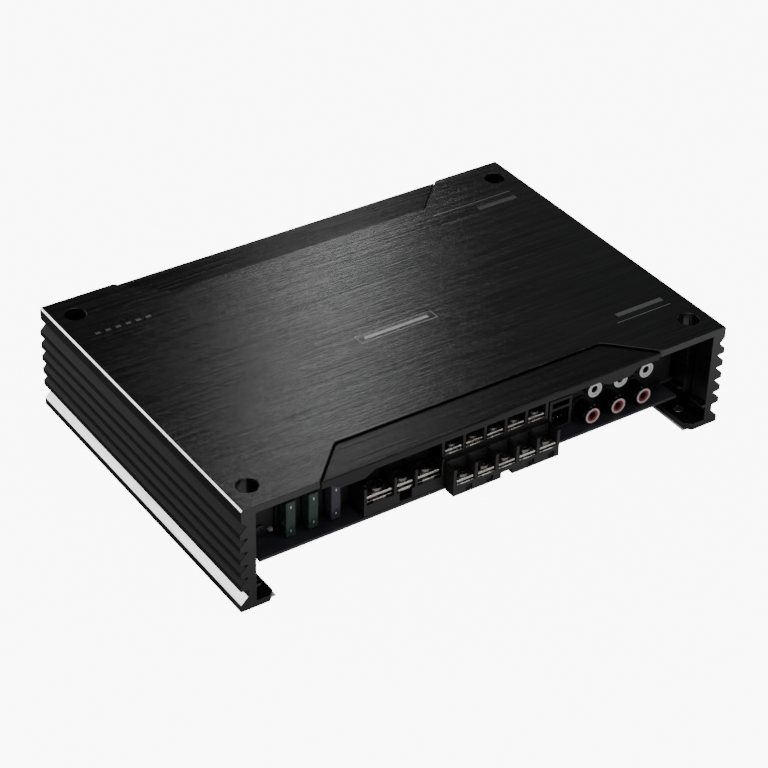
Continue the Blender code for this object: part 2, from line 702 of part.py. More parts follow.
def make_clamp(name, x, y, width, depth, base, thickness, shank):
    """Square washer plate with the hole its screw turns in."""
    plate = add_object(name, boxes(((x - width / 2, y - depth / 2, base),
                                    (x + width / 2, y + depth / 2, base + thickness))),
                       BRIGHT_METAL)
    hole = shank + SHANK_CLEARANCE
    return cut(plate, rods([(x, y)], hole, base - OVERRUN, base + thickness + OVERRUN,
                           SCREW_SIDES))


def screw_mesh(name, head, head_height, shank, length):
    """Pan-head screw with a cross recess, its origin under the head on the screw's axis."""
    profile = [(0.0, head_height), (head - SCREW_BEVEL, head_height),
               (head, head_height - SCREW_BEVEL), (head, 0.0), (shank, 0.0),
               (shank, -length + SCREW_BEVEL), (shank - SCREW_BEVEL, -length), (0.0, -length)]
    screw = add_object(name, turned(profile, (0.0, 0.0, 0.0), (0.0, 0.0, 1.0), SCREW_SIDES),
                       BRIGHT_METAL, smooth=True)
    long = head * CROSS_SHARE
    short = CROSS_WIDTH / 2
    low = head_height - CROSS_DEPTH
    high = head_height + OVERRUN
    cross = [(long, -short), (long, short), (short, short), (short, long),
             (-short, long), (-short, short), (-long, short), (-long, -short),
             (-short, -short), (-short, -long), (short, -long), (short, -short)]
    cut(screw, prism(cross, "Z", low, high))
    bpy.context.view_layer.update()
    finished = bpy.data.meshes.new_from_object(
        screw.evaluated_get(bpy.context.evaluated_depsgraph_get()))
    for item in (screw.modifiers[0].object, screw):
        bpy.data.objects.remove(item, do_unlink=True)
    return finished


def place_copy(name, mesh, spot):
    item = bpy.data.objects.new(name, mesh)
    item.location = spot
    bpy.context.collection.objects.link(item)
    return item


def make_power_terminals():
    seat = BASE + POWER_SEAT
    base = seat + POWER_CLAMP_LIFT
    under_head = base + POWER_CLAMP_THICKNESS + TOUCH
    shape = screw_mesh("power_screw", POWER_HEAD, POWER_HEAD_HEIGHT, POWER_SHANK,
                       under_head - seat + TIP_IN_BORE)
    for name, (x0, x1) in zip(("battery", "remote", "ground"), power_cells()):
        x = (x0 + x1) / 2
        make_clamp(name + "_clamp", x, power_screw_y(), x1 - x0 - 2 * SLIDE_FIT,
                   POWER_CLAMP_DEPTH, base, POWER_CLAMP_THICKNESS, POWER_SHANK)
        place_copy(name + "_screw", shape, (x, power_screw_y(), under_head))


def make_speaker_terminals():
    width = SPEAKER_PITCH - SPEAKER_WALL - 2 * SLIDE_FIT
    rise = SPEAKER_SEAT + SPEAKER_CLAMP_LIFT
    head_rise = rise + SPEAKER_CLAMP_THICKNESS + TOUCH
    shape = screw_mesh("speaker_screw", SPEAKER_HEAD, SPEAKER_HEAD_HEIGHT, SPEAKER_SHANK,
                       head_rise - SPEAKER_SEAT + TIP_IN_BORE)
    for row, cell, x, y, _front, base in speaker_spots():
        label = "{}_{}".format(("lower", "upper")[row], cell + 1)
        make_clamp("speaker_clamp_" + label, x, y, width, SPEAKER_CLAMP_DEPTH, base + rise,
                   SPEAKER_CLAMP_THICKNESS, SPEAKER_SHANK)
        place_copy("speaker_screw_" + label, shape, (x, y, base + head_rise))


# ---------------------------------------------------------------- fuses, socket and jacks

def fuse_centres():
    first = -INNER_X + FUSE_FROM_WALL
    return [first + FUSE_PITCH * index for index in range(FUSE_COUNT)]


def fuse_middle():
    return FLOOR_TOP + FUSE_BASE_GAP + FUSE_WIDTH / 2


def holder_box():
    centres = fuse_centres()
    half = FUSE_THICKNESS / 2 + TOUCH + HOLDER_WALL
    tall = FUSE_NECK_WIDTH / 2 + TOUCH + HOLDER_WALL
    middle = fuse_middle()
    return ((centres[0] - half, PANEL_FRONT - HOLDER_PROUD, middle - tall),
            (centres[-1] + half, TAIL_BACK, middle + tall))


def make_fuse_holder():
    low, high = holder_box()
    holder = add_object("fuse_holder", boxes((low, high)), BLACK_PLASTIC)
    middle = fuse_middle()
    wide = FUSE_THICKNESS / 2 + TOUCH
    tall = FUSE_NECK_WIDTH / 2 + TOUCH
    thin = BLADE_THICKNESS / 2 + TOUCH
    blade = BLADE_WIDTH / 2 + TOUCH
    pocket_back = low[1] + FUSE_NECK_DEPTH + TOUCH
    cut(holder, boxes(*[((x - wide, low[1] - OVERRUN, middle - tall),
                         (x + wide, pocket_back, middle + tall)) for x in fuse_centres()]))
    slots = []
    for x in fuse_centres():
        for side in (-1, 1):
            z = middle + side * BLADE_SPACING / 2
            slots.append(((x - thin, pocket_back - OVERRUN, z - blade),
                          (x + thin, pocket_back + BLADE_LENGTH, z + blade)))
    cut(holder, boxes(*slots))
    return holder


def make_fuse(name, x, finish):
    middle = fuse_middle()
    half = FUSE_THICKNESS / 2
    face = PANEL_FRONT - HOLDER_PROUD - TOUCH
    front = face - FUSE_HEAD_DEPTH
    neck_back = face + FUSE_NECK_DEPTH
    wide = FUSE_WIDTH / 2
    neck = FUSE_NECK_WIDTH / 2
    side = [(front, -wide), (front, wide), (face, wide), (face, neck), (neck_back, neck),
            (neck_back, -neck), (face, -neck), (face, -wide)]
    outline = [(y, middle + z) for y, z in side]
    fuse = add_object(name, prism(outline, "X", x - half, x + half), finish)
    thin = BLADE_THICKNESS / 2
    blades = []
    for end in (-1, 1):
        z = middle + end * BLADE_SPACING / 2
        blades.append(((x - thin, neck_back - OVERRUN, z - BLADE_WIDTH / 2),
                       (x + thin, neck_back + BLADE_LENGTH - OVERRUN, z + BLADE_WIDTH / 2)))
    return join(fuse, boxes(*blades))


def socket_tail():
    inset = SOCKET_WALL / 3
    return ((SOCKET_LEFT + inset, BLOCK_BACK - OVERRUN, BASE + inset),
            (SOCKET_LEFT + SOCKET_WIDTH - inset, TAIL_BACK, BASE + SOCKET_HEIGHT - inset))


def make_socket():
    front = PANEL_FRONT - SOCKET_REACH
    right = SOCKET_LEFT + SOCKET_WIDTH
    top = BASE + SOCKET_HEIGHT
    socket = add_object("control_input_socket",
                        boxes(((SOCKET_LEFT, front, BASE), (right, BLOCK_BACK, top))),
                        BLACK_PLASTIC)
    join(socket, boxes(socket_tail()))
    rib = BASE + SOCKET_SHELF
    left = SOCKET_LEFT + SOCKET_WALL
    back = front + SOCKET_DEPTH
    cut(socket, boxes(((left, front - OVERRUN, BASE + SOCKET_WALL), (right - SOCKET_WALL, back, rib)),
                      ((left, front - OVERRUN, rib + SOCKET_WALL),
                       (right - SOCKET_WALL, back, top - SOCKET_WALL))))
    return socket


def jack_columns():
    last = INNER_X - JACK_FROM_WALL
    return [last - JACK_PITCH * index for index in reversed(range(JACK_COUNT))]


def jack_heights():
    lower = FLOOR_TOP + JACK_LOWER
    return (lower, lower + JACK_SPACING)


def make_jack_pair(name, x):
    lower, upper = jack_heights()
    back = PANEL_BACK + TOUCH
    half = JACK_BODY_WIDTH / 2
    body = add_object(name, boxes(((x - half, back, BASE),
                                   (x + half, TAIL_BACK, upper + JACK_BODY_MARGIN))),
                      BLACK_PLASTIC)
    reach = back + OVERRUN - PANEL_FRONT + JACK_REACH
    rim = reach - OVERRUN
    profile = [(0.0, 0.0), (JACK_RADIUS, 0.0), (JACK_RADIUS, reach), (JACK_BORE, reach),
               (JACK_BORE, rim), (JACK_CORE, rim), (JACK_CORE, reach), (JACK_PIN, reach),
               (JACK_PIN, reach - JACK_PIN_DEPTH), (0.0, reach - JACK_PIN_DEPTH)]
    for height in (lower, upper):
        join(body, turned(profile, (x, back + OVERRUN, height), (0.0, -1.0, 0.0), 24))
    return body


def make_indicator():
    x = -INNER_X + LED_FROM_WALL
    z = FLOOR_TOP + LED_ABOVE_FLOOR
    length = PANEL_THICKNESS + LED_FLANGE + LED_PROUD + TOUCH
    dome = [(LED_RADIUS * math.cos(angle), length - LED_RADIUS + LED_RADIUS * math.sin(angle))
            for angle in (0.0, math.pi / 6, math.pi / 3)]
    profile = [(0.0, 0.0), (LED_RADIUS + TOUCH, 0.0), (LED_RADIUS + TOUCH, LED_FLANGE),
               (LED_RADIUS, LED_FLANGE), *dome, (0.0, length)]
    return add_object("indicator_lens",
                      turned(profile, (x, PANEL_BACK + TOUCH + LED_FLANGE, z), (0.0, -1.0, 0.0),
                             16), LED_LENS, smooth=True)


# ---------------------------------------------------------------- controls

def make_knob(name, x):
    """Ribbed cap and its shaft, turning about Y through the panel."""
    face = -PANEL_FRONT + TOUCH
    shaft = face - CONTROL_FACE + CONTROL_BODY_DEPTH / 2
    profile = [(0.0, 0.0), (KNOB_SHAFT, 0.0), (KNOB_SHAFT, shaft), (KNOB_RADIUS, shaft),
               (KNOB_RADIUS, shaft + KNOB_HEIGHT - KNOB_GROOVE),
               (KNOB_RADIUS - KNOB_GROOVE, shaft + KNOB_HEIGHT), (0.0, shaft + KNOB_HEIGHT)]
    knob = add_object(name, turned(profile, (x, face - shaft, CONTROL_HEIGHT), (0.0, 1.0, 0.0),
                                   24), BLACK_PLASTIC, origin=(x, face, CONTROL_HEIGHT),
                      smooth=True)
    half = KNOB_GROOVE / 2
    slot = boxes(((x - half, face + KNOB_HEIGHT - KNOB_GROOVE, CONTROL_HEIGHT),
                  (x + half, face + KNOB_HEIGHT + OVERRUN, CONTROL_HEIGHT + KNOB_RADIUS + OVERRUN)))
    return cut(knob, slot)


def make_switch_cap(name, x):
    half_x = SWITCH_CAP_WIDTH / 2
    half_z = SWITCH_CAP_HEIGHT / 2
    return add_object(name, boxes(((x - half_x, CONTROL_FACE - SWITCH_PROUD / 2,
                                    CONTROL_HEIGHT - half_z),
                                   (x + half_x, -PANEL_FRONT + SWITCH_PROUD,
                                    CONTROL_HEIGHT + half_z))),
                      BLACK_PLASTIC, origin=(x, -PANEL_FRONT, CONTROL_HEIGHT))


def switch_slot(x, y0, y1):
    half_x = SWITCH_CAP_WIDTH / 2 + SWITCH_TRAVEL + TOUCH
    half_z = SWITCH_CAP_HEIGHT / 2 + TOUCH
    return ((x - half_x, y0, CONTROL_HEIGHT - half_z), (x + half_x, y1, CONTROL_HEIGHT + half_z))


def make_control_board():
    """Upright board that carries the pots and the slide switches."""
    left = KNOB_CENTRES[0] - CONTROL_BOARD_MARGIN
    right = SWITCH_CENTRES[-1] + CONTROL_BOARD_MARGIN
    back = CONTROL_BOARD_FRONT - CONTROL_BOARD_THICKNESS
    low = CONTROL_HEIGHT - CONTROL_BOARD_HEIGHT / 2
    board = add_object("control_board",
                       boxes(((left, back, low),
                              (right, CONTROL_BOARD_FRONT, low + CONTROL_BOARD_HEIGHT))),
                       BOARD_GREEN)
    half_x = CONTROL_BODY_WIDTH / 2
    half_z = CONTROL_BODY_HEIGHT / 2
    bodies = [((x - half_x, CONTROL_BOARD_FRONT - CONTROL_BOARD_THICKNESS / 2,
                CONTROL_HEIGHT - half_z),
               (x + half_x, CONTROL_FACE, CONTROL_HEIGHT + half_z))
              for x in KNOB_CENTRES + SWITCH_CENTRES]
    join(board, boxes(*bodies))
    for x in KNOB_CENTRES:
        depth = CONTROL_BODY_DEPTH / 2 + 2 * TOUCH
        cut(board, turned(rod_profile(KNOB_SHAFT + TOUCH, depth + OVERRUN),
                          (x, CONTROL_FACE - depth, CONTROL_HEIGHT), (0.0, 1.0, 0.0), 16))
    floor = CONTROL_FACE - SWITCH_PROUD / 2 - TOUCH
    cut(board, boxes(*[switch_slot(x, floor, CONTROL_FACE + OVERRUN) for x in SWITCH_CENTRES]))
    return board


# ---------------------------------------------------------------- parts inside

def make_main_board():
    return add_object("main_circuit_board",
                      boxes(((-BOARD_HALF_WIDTH, BOARD_FRONT, BOARD_BASE),
                             (BOARD_HALF_WIDTH, -BOARD_FRONT, BOARD_TOP))), BOARD_GREEN)


def make_ring(name, centre, outer, inner, height):
    """Wound ring with rounded edges, lying flat on the board."""
    edge = (outer - inner) / 4
    profile = [(inner, edge), (inner, height - edge), (inner + edge, height),
               (outer - edge, height), (outer, height - edge), (outer, edge),
               (outer - edge, 0.0), (inner + edge, 0.0)]
    return add_object(name, turned(profile, (*centre, PART_BASE), (0.0, 0.0, 1.0), 24),
                      COPPER_WINDING, smooth=True)


def make_capacitor(name, centre):
    height = CEILING - CAPACITOR_HEADROOM - PART_BASE
    edge = CAPACITOR_RADIUS / 10
    profile = [(0.0, height), (CAPACITOR_RADIUS - edge, height), (CAPACITOR_RADIUS, height - edge),
               (CAPACITOR_RADIUS, edge), (CAPACITOR_RADIUS - edge, 0.0), (0.0, 0.0)]
    return add_object(name, turned(profile, (*centre, PART_BASE), (0.0, 0.0, 1.0), 24),
                      CAPACITOR_SLEEVE, smooth=True)


def make_device_row(name, side):
    """Row of power transistors held to a side wall by one bar."""
    wall = INNER_X - TOUCH
    middle = PART_BASE + DEVICE_HEIGHT / 2
    inner = wall - DEVICE_THICKNESS
    half_bar = DEVICE_PITCH * DEVICE_COUNT / 2
    bar = ((inner - DEVICE_BAR_THICKNESS, -half_bar, middle - DEVICE_BAR_HEIGHT / 2),
           (inner + TOUCH, half_bar, middle + DEVICE_BAR_HEIGHT / 2))
    devices = []
    for index in range(DEVICE_COUNT):
        y = DEVICE_PITCH * (index - (DEVICE_COUNT - 1) / 2)
        devices.append(((inner, y - DEVICE_WIDTH / 2, PART_BASE),
                        (wall, y + DEVICE_WIDTH / 2, PART_BASE + DEVICE_HEIGHT)))

    if side < 0:
        bar = mirror_box(bar)
        devices = [mirror_box(box) for box in devices]
    row = add_object(name, boxes(bar), BLACK_PLASTIC)
    return join(row, boxes(*devices))


def mirror_box(box):
    (x0, y0, z0), (x1, y1, z1) = box
    return (-x1, y0, z0), (-x0, y1, z1)


# ---------------------------------------------------------------- the whole amplifier

def build():
    clear_scene()
    make_case()
    make_cover("front_terminal_cover", -1, GRIP_CENTRES)
    make_cover("rear_control_cover", 1, ())
    make_floor()
    led = (-INNER_X + LED_FROM_WALL, FLOOR_TOP + LED_ABOVE_FLOOR, LED_RADIUS + TOUCH / 2)
    jacks = [(x, z, JACK_RADIUS + JACK_HOLE_CLEARANCE) for x in jack_columns() for z in jack_heights()]
    make_panel("front_panel", -1,
               [window(*holder_box()), window(*power_tail()), window(*speaker_tail()),
                window(*socket_tail())], jacks + [led])
    slots = [switch_slot(x, 0.0, 0.0) for x in SWITCH_CENTRES]
    make_panel("rear_panel", 1, [(low[0], high[0], low[2], high[2]) for low, high in slots],
               [(x, CONTROL_HEIGHT, KNOB_SHAFT + 2 * TOUCH) for x in KNOB_CENTRES])
    make_main_board()
    make_power_block()
    make_speaker_block()
    make_power_terminals()
    make_speaker_terminals()
    make_fuse_holder()
    finishes = (GREEN_PLASTIC, GREEN_PLASTIC, VIOLET_PLASTIC)
    for index, (x, finish) in enumerate(zip(fuse_centres(), finishes)):
        make_fuse("fuse_{}".format(index + 1), x, finish)
    make_socket()
    for index, x in enumerate(jack_columns()):
        make_jack_pair("rca_jack_pair_{}".format(index + 1), x)
    make_indicator()
    for name, x in zip(KNOB_NAMES, KNOB_CENTRES):
        make_knob(name + "_knob", x)
    for index, x in enumerate(SWITCH_CENTRES):
        make_switch_cap("filter_switch_{}".format(index + 1), x)
    make_control_board()
    make_ring("power_transformer", TRANSFORMER_CENTRE, TRANSFORMER_RADIUS, TRANSFORMER_BORE,
              TRANSFORMER_HEIGHT)
    for index, centre in enumerate(INDUCTOR_CENTRES):
        make_ring("output_inductor_{}".format(index + 1), centre, INDUCTOR_RADIUS,
                  INDUCTOR_BORE, INDUCTOR_HEIGHT)
    for index, centre in enumerate(CAPACITOR_CENTRES):
        make_capacitor("capacitor_{}".format(index + 1), centre)
    make_device_row("transistor_row_left", -1)
    make_device_row("transistor_row_right", 1)


build()
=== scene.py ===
"""Looks of a five-channel car amplifier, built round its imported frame. Metres, +Z up.

-Y is the connection side and +Y the control side. CAD pieces keep their shape as welded copies
with eased edges; jacks, screws, fuses, contacts, knobs and windings are surfaces of their own.
"""

import math

import bmesh
import bpy
import numpy as np
from mathutils import Matrix, Vector


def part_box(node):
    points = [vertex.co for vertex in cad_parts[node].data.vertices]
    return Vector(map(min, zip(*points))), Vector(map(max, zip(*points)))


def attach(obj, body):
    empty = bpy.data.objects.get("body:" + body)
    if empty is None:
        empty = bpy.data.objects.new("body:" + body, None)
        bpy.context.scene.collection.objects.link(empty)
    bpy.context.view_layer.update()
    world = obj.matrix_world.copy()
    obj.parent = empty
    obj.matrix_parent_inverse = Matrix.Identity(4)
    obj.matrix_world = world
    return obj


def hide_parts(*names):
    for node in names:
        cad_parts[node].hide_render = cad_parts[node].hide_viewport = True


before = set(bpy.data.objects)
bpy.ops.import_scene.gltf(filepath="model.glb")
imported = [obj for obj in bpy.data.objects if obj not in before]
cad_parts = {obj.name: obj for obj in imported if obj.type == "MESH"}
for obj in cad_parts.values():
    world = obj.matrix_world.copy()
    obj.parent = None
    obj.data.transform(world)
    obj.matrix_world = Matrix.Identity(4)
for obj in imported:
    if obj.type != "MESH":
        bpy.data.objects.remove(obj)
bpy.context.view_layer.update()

MM = 0.001

# Camera, aimed at the middle of the base
CAMERA_AZIMUTH = math.radians(-34.52)
CAMERA_ELEVATION = math.radians(35.57)
CAMERA_DISTANCE = 1.1087
CAMERA_ROLL = math.radians(1.435)
CAMERA_LENS = 109.8
CAMERA_SHIFT = (0.0044, 0.0366)


# ---------------------------------------------------------------- node helpers

def put(tree, kind, inputs=None, **settings):
    """Node with its settings, and its inputs linked or set."""
    node = tree.nodes.new(kind)
    for name, value in settings.items():
        setattr(node, name, value)
    for key, value in (inputs or {}).items():
        if isinstance(value, bpy.types.NodeSocket):
            tree.links.new(value, node.inputs[key])
        else:
            node.inputs[key].default_value = value
    return node


def calc(tree, operation, *values, clamp=False):
    node = put(tree, "ShaderNodeMath", dict(enumerate(values)), operation=operation)
    node.use_clamp = clamp
    return node.outputs[0]


def vector_calc(tree, operation, *values):
    return put(tree, "ShaderNodeVectorMath", dict(enumerate(values)), operation=operation)


def ramp(tree, value, low, high, out_low=0.0, out_high=1.0):
    """Value carried from one range to another, held at both ends."""
    inputs = {"Value": value, "From Min": low, "From Max": high, "To Min": out_low,
              "To Max": out_high}
    return put(tree, "ShaderNodeMapRange", inputs).outputs["Result"]


def mixed(tree, factor, first, second):
    """Colour between two, by a factor."""
    node = put(tree, "ShaderNodeMix", data_type="RGBA")
    for socket, value in ((node.inputs["Factor"], factor), (node.inputs[6], first),
                          (node.inputs[7], second)):
        if isinstance(value, bpy.types.NodeSocket):
            tree.links.new(value, socket)
        elif socket.type == "RGBA":
            socket.default_value = (*value, 1.0)
        else:
            socket.default_value = value
    return node.outputs[2]


def object_place(tree):
    return put(tree, "ShaderNodeTexCoord").outputs["Object"]


def new_group(name, inputs, outputs):
    """Empty shader group with named sockets; gives the group, its way in and its way out."""
    group = bpy.data.node_groups.new(name, "ShaderNodeTree")
    for label, kind, value in inputs:
        socket = group.interface.new_socket(label, in_out="INPUT", socket_type=kind)
        socket.default_value = value
    for label in outputs:
        group.interface.new_socket(label, in_out="OUTPUT", socket_type="NodeSocketFloat")
    return group, group.nodes.new("NodeGroupInput"), group.nodes.new("NodeGroupOutput")


def use(tree, group, **inputs):
    """Outputs of a group placed in a material; an underscore in a name stands for a space."""
    values = {key.replace("_", " "): value for key, value in inputs.items()}
    node = tree.nodes.new("ShaderNodeGroup")
    node.node_tree = group
    for key, value in values.items():
        if isinstance(value, bpy.types.NodeSocket):
            tree.links.new(value, node.inputs[key])
        else:
            node.inputs[key].default_value = value
    return node.outputs


# ---------------------------------------------------------------- shared effects

def make_brushed_lines():
    """Fine parallel scratches: noise drawn out along X, with a slower noise that groups them."""
    group, way_in, way_out = new_group(
        "brushed_lines", [("Stretch", "NodeSocketVector", (70.0, 2400.0, 2400.0))],
        ["Height", "Tone"])
    place = object_place(group)
    fine = put(group, "ShaderNodeMapping", {"Vector": place, "Scale": way_in.outputs["Stretch"]})
    lines = put(group, "ShaderNodeTexNoise", {"Vector": fine.outputs[0], "Scale": 1.0,
                                              "Detail": 3.0, "Roughness": 0.65})
    wide = vector_calc(group, "SCALE", fine.outputs[0])
    wide.inputs["Scale"].default_value = 0.28
    bands = put(group, "ShaderNodeTexNoise", {"Vector": wide.outputs[0], "Scale": 1.0,
                                              "Detail": 2.0, "Roughness": 0.5})
    tone = calc(group, "ADD", calc(group, "MULTIPLY", lines.outputs[0], 0.5),
                calc(group, "MULTIPLY", bands.outputs[0], 0.5))
    height = calc(group, "MULTIPLY_ADD", bands.outputs[0], 2.0, lines.outputs[0])
    group.links.new(height, way_out.inputs["Height"])
    group.links.new(ramp(group, tone, 0.35, 0.65), way_out.inputs["Tone"])
    return group


def make_edge_wear():
    """Mask of worn edges: how far the eased normal leans from the true one, broken by noise."""
    group, way_in, way_out = new_group(
        "edge_wear", [("Radius", "NodeSocketFloat", 0.0004), ("Patch Scale", "NodeSocketFloat", 400.0),
                      ("Amount", "NodeSocketFloat", 0.6)], ["Mask"])
    eased = put(group, "ShaderNodeBevel", {"Radius": way_in.outputs["Radius"]}, samples=4)
    true = put(group, "ShaderNodeNewGeometry").outputs["True Normal"]
    lean = vector_calc(group, "DOT_PRODUCT", eased.outputs[0], true).outputs["Value"]
    edge = ramp(group, calc(group, "SUBTRACT", 1.0, lean), 0.02, 0.25)
    patches = put(group, "ShaderNodeTexNoise",
                  {"Vector": object_place(group), "Scale": way_in.outputs["Patch Scale"],
                   "Detail": 3.0})
    broken = ramp(group, patches.outputs[0], 0.4, 0.62, 0.15, 1.0)
    mask = calc(group, "MULTIPLY", calc(group, "MULTIPLY", edge, broken), way_in.outputs["Amount"])
    group.links.new(mask, way_out.inputs["Mask"])
    return group


def make_settled_dust():
    """Thin dust: two noises, only where the surface faces up."""
    group, way_in, way_out = new_group(
        "settled_dust", [("Scale", "NodeSocketFloat", 60.0), ("Amount", "NodeSocketFloat", 0.1)],
        ["Mask"])
    place = object_place(group)
    clouds = put(group, "ShaderNodeTexNoise", {"Vector": place, "Scale": way_in.outputs["Scale"],
                                               "Detail": 5.0})
    specks = put(group, "ShaderNodeTexNoise", {"Vector": place, "Scale": 3000.0, "Detail": 1.0})
    normal = put(group, "ShaderNodeNewGeometry").outputs["Normal"]
    up = put(group, "ShaderNodeSeparateXYZ", {0: normal}).outputs["Z"]
    cover = calc(group, "MULTIPLY", ramp(group, clouds.outputs[0], 0.42, 0.75),
                 ramp(group, specks.outputs[0], 0.35, 0.75))
    mask = calc(group, "MULTIPLY", calc(group, "MULTIPLY", cover, ramp(group, up, 0.2, 0.9)),
                way_in.outputs["Amount"])
    group.links.new(mask, way_out.inputs["Mask"])
    return group


def make_moulded_skin():
    """Fine pebbled skin of a moulding, with slow changes in tone."""
    group, way_in, way_out = new_group(
        "moulded_skin", [("Scale", "NodeSocketFloat", 2600.0)], ["Height", "Tone"])
    place = object_place(group)
    pebbles = put(group, "ShaderNodeTexVoronoi", {"Vector": place, "Scale": way_in.outputs["Scale"]})
    flow = put(group, "ShaderNodeTexNoise", {"Vector": place, "Scale": 90.0, "Detail": 4.0})
    group.links.new(pebbles.outputs["Distance"], way_out.inputs["Height"])
    group.links.new(ramp(group, flow.outputs[0], 0.3, 0.7), way_out.inputs["Tone"])
    return group


def make_box_mask():
    """One inside a box and nought outside: the largest of |place - centre| - half, under nought."""
    group, way_in, way_out = new_group(
        "box_mask", [("Centre", "NodeSocketVector", (0.0, 0.0, 0.0)),
                     ("Half Size", "NodeSocketVector", (0.01, 0.01, 0.01))], ["Mask"])
    offset = vector_calc(group, "SUBTRACT", object_place(group), way_in.outputs["Centre"])
    size = vector_calc(group, "ABSOLUTE", offset.outputs[0])
    over = vector_calc(group, "SUBTRACT", size.outputs[0], way_in.outputs["Half Size"])
    parts = put(group, "ShaderNodeSeparateXYZ", {0: over.outputs[0]}).outputs
    most = calc(group, "MAXIMUM", calc(group, "MAXIMUM", parts[0], parts[1]), parts[2])
    group.links.new(ramp(group, most, 0.00003, -0.00003), way_out.inputs["Mask"])
    return group


BRUSHED = make_brushed_lines()
WEAR = make_edge_wear()
DUST = make_settled_dust()
SKIN = make_moulded_skin()
BOX = make_box_mask()


# ---------------------------------------------------------------- materials

def new_finish(name, **sockets):
    """Material, its tree and its Principled shader, with plain values on the shader's sockets."""
    material = bpy.data.materials.new(name)
    material.use_nodes = True
    shader = material.node_tree.nodes["Principled BSDF"]
    for key, value in sockets.items():
        shader.inputs[key.replace("_", " ")].default_value = value
    return material, material.node_tree, shader


def raised(tree, shader, height, distance, strength=1.0):
    """Bump of a height mask, raised by a distance in metres."""
    bump = put(tree, "ShaderNodeBump", {"Height": height, "Distance": distance, "Strength": strength})
    tree.links.new(bump.outputs[0], shader.inputs["Normal"])


def feed(tree, shader, **sockets):
    for key, value in sockets.items():
        tree.links.new(value, shader.inputs[key.replace("_", " ")])


def make_anodised(name, stretch, rough, depth, level=0.5, prints=()):
    """Black anodised aluminium with fine lines drawn along the way its noise is least stretched."""
    material, tree, shader = new_finish(name, Metallic=0.0, Specular_IOR_Level=level)
    lines = use(tree, BRUSHED, Stretch=stretch)
    dust = use(tree, DUST, Scale=25.0, Amount=0.02)["Mask"]
    wear = use(tree, WEAR, Radius=0.00035, Patch_Scale=260.0, Amount=0.2)["Mask"]
    colour = mixed(tree, lines["Tone"], (0.004, 0.004, 0.0043), (0.011, 0.011, 0.0115))
    colour = mixed(tree, wear, colour, (0.16, 0.16, 0.165))
    colour = mixed(tree, dust, colour, (0.3, 0.29, 0.27))
    rough = ramp(tree, lines["Tone"], 0.0, 1.0, *rough)
    for centre, half, ink, strength in prints:
        mask = use(tree, BOX, Centre=centre, Half_Size=half)["Mask"]
        colour = mixed(tree, calc(tree, "MULTIPLY", mask, strength), colour, ink)
    feed(tree, shader, Base_Color=colour, Roughness=rough)
    raised(tree, shader, lines["Height"], depth)
    return material


def make_machined(name, tint, rough_low, rough_high):
    """Bare machined metal with fine tool lines and a little staining."""
    material, tree, shader = new_finish(name, Metallic=1.0)
    lines = use(tree, BRUSHED, Stretch=(1800.0, 40.0, 1800.0))
    flow = use(tree, SKIN, Scale=1500.0)["Tone"]
    dark = tuple(0.72 * part for part in tint)
    colour = mixed(tree, calc(tree, "MULTIPLY", flow, lines["Tone"]), tint, dark)
    feed(tree, shader, Base_Color=colour,
         Roughness=ramp(tree, lines["Tone"], 0.0, 1.0, rough_low, rough_high))
    raised(tree, shader, lines["Height"], 0.000008, 0.4)
    return material


def make_painted(name, base, prints=()):
    """Powder-coated steel: orange-peel skin, soft gloss, worn a little at its edges."""
    material, tree, shader = new_finish(name, Metallic=0.0, Specular_IOR_Level=0.5)
    skin = use(tree, SKIN, Scale=1400.0)
    wear = use(tree, WEAR, Radius=0.0003, Patch_Scale=500.0, Amount=0.35)["Mask"]
    dust = use(tree, DUST, Scale=40.0, Amount=0.12)["Mask"]
    lighter = tuple(1.7 * part for part in base)
    colour = mixed(tree, skin["Tone"], base, lighter)
    colour = mixed(tree, wear, colour, (0.2, 0.2, 0.2))
    colour = mixed(tree, dust, colour, (0.22, 0.21, 0.2))
    for centre, half, ink, strength in prints:
        mask = use(tree, BOX, Centre=centre, Half_Size=half)["Mask"]
        colour = mixed(tree, calc(tree, "MULTIPLY", mask, strength), colour, ink)
    feed(tree, shader, Base_Color=colour,
         Roughness=ramp(tree, skin["Tone"], 0.0, 1.0, 0.42, 0.55))
    raised(tree, shader, skin["Height"], 0.00002, 0.3)
    return material


def make_moulded(name, base, lighter, rough=(0.38, 0.52), level=0.5):
    """Moulded plastic with a pebbled skin, flow marks and rubbed edges."""
    material, tree, shader = new_finish(name, Metallic=0.0, Specular_IOR_Level=level)
    skin = use(tree, SKIN, Scale=3200.0)
    wear = use(tree, WEAR, Radius=0.00025, Patch_Scale=700.0, Amount=0.3)["Mask"]
    dust = use(tree, DUST, Scale=80.0, Amount=0.08)["Mask"]
    colour = mixed(tree, skin["Tone"], base, lighter)
    colour = mixed(tree, wear, colour, tuple(min(1.0, 3.0 * part + 0.03) for part in lighter))
    colour = mixed(tree, dust, colour, (0.3, 0.29, 0.27))
    feed(tree, shader, Base_Color=colour,
         Roughness=ramp(tree, skin["Tone"], 0.0, 1.0, *rough))
    raised(tree, shader, skin["Height"], 0.000012, 0.35)
    return material


def make_plated(name, tint, rough=(0.16, 0.34)):
    """Plated metal with faint tarnish in darker patches and handling marks."""
    material, tree, shader = new_finish(name, Metallic=1.0)
    place = object_place(tree)
    marks = put(tree, "ShaderNodeTexNoise", {"Vector": place, "Scale": 700.0, "Detail": 4.0})
    stain = put(tree, "ShaderNodeTexNoise", {"Vector": place, "Scale": 220.0, "Detail": 3.0})
    shade = tuple(part * share for part, share in zip(tint, (0.62, 0.57, 0.5)))
    colour = mixed(tree, ramp(tree, stain.outputs[0], 0.48, 0.72), tint, shade)
    feed(tree, shader, Base_Color=colour,
         Roughness=ramp(tree, marks.outputs[0], 0.3, 0.7, *rough))
    raised(tree, shader, marks.outputs[0], 0.0000008)
    return material


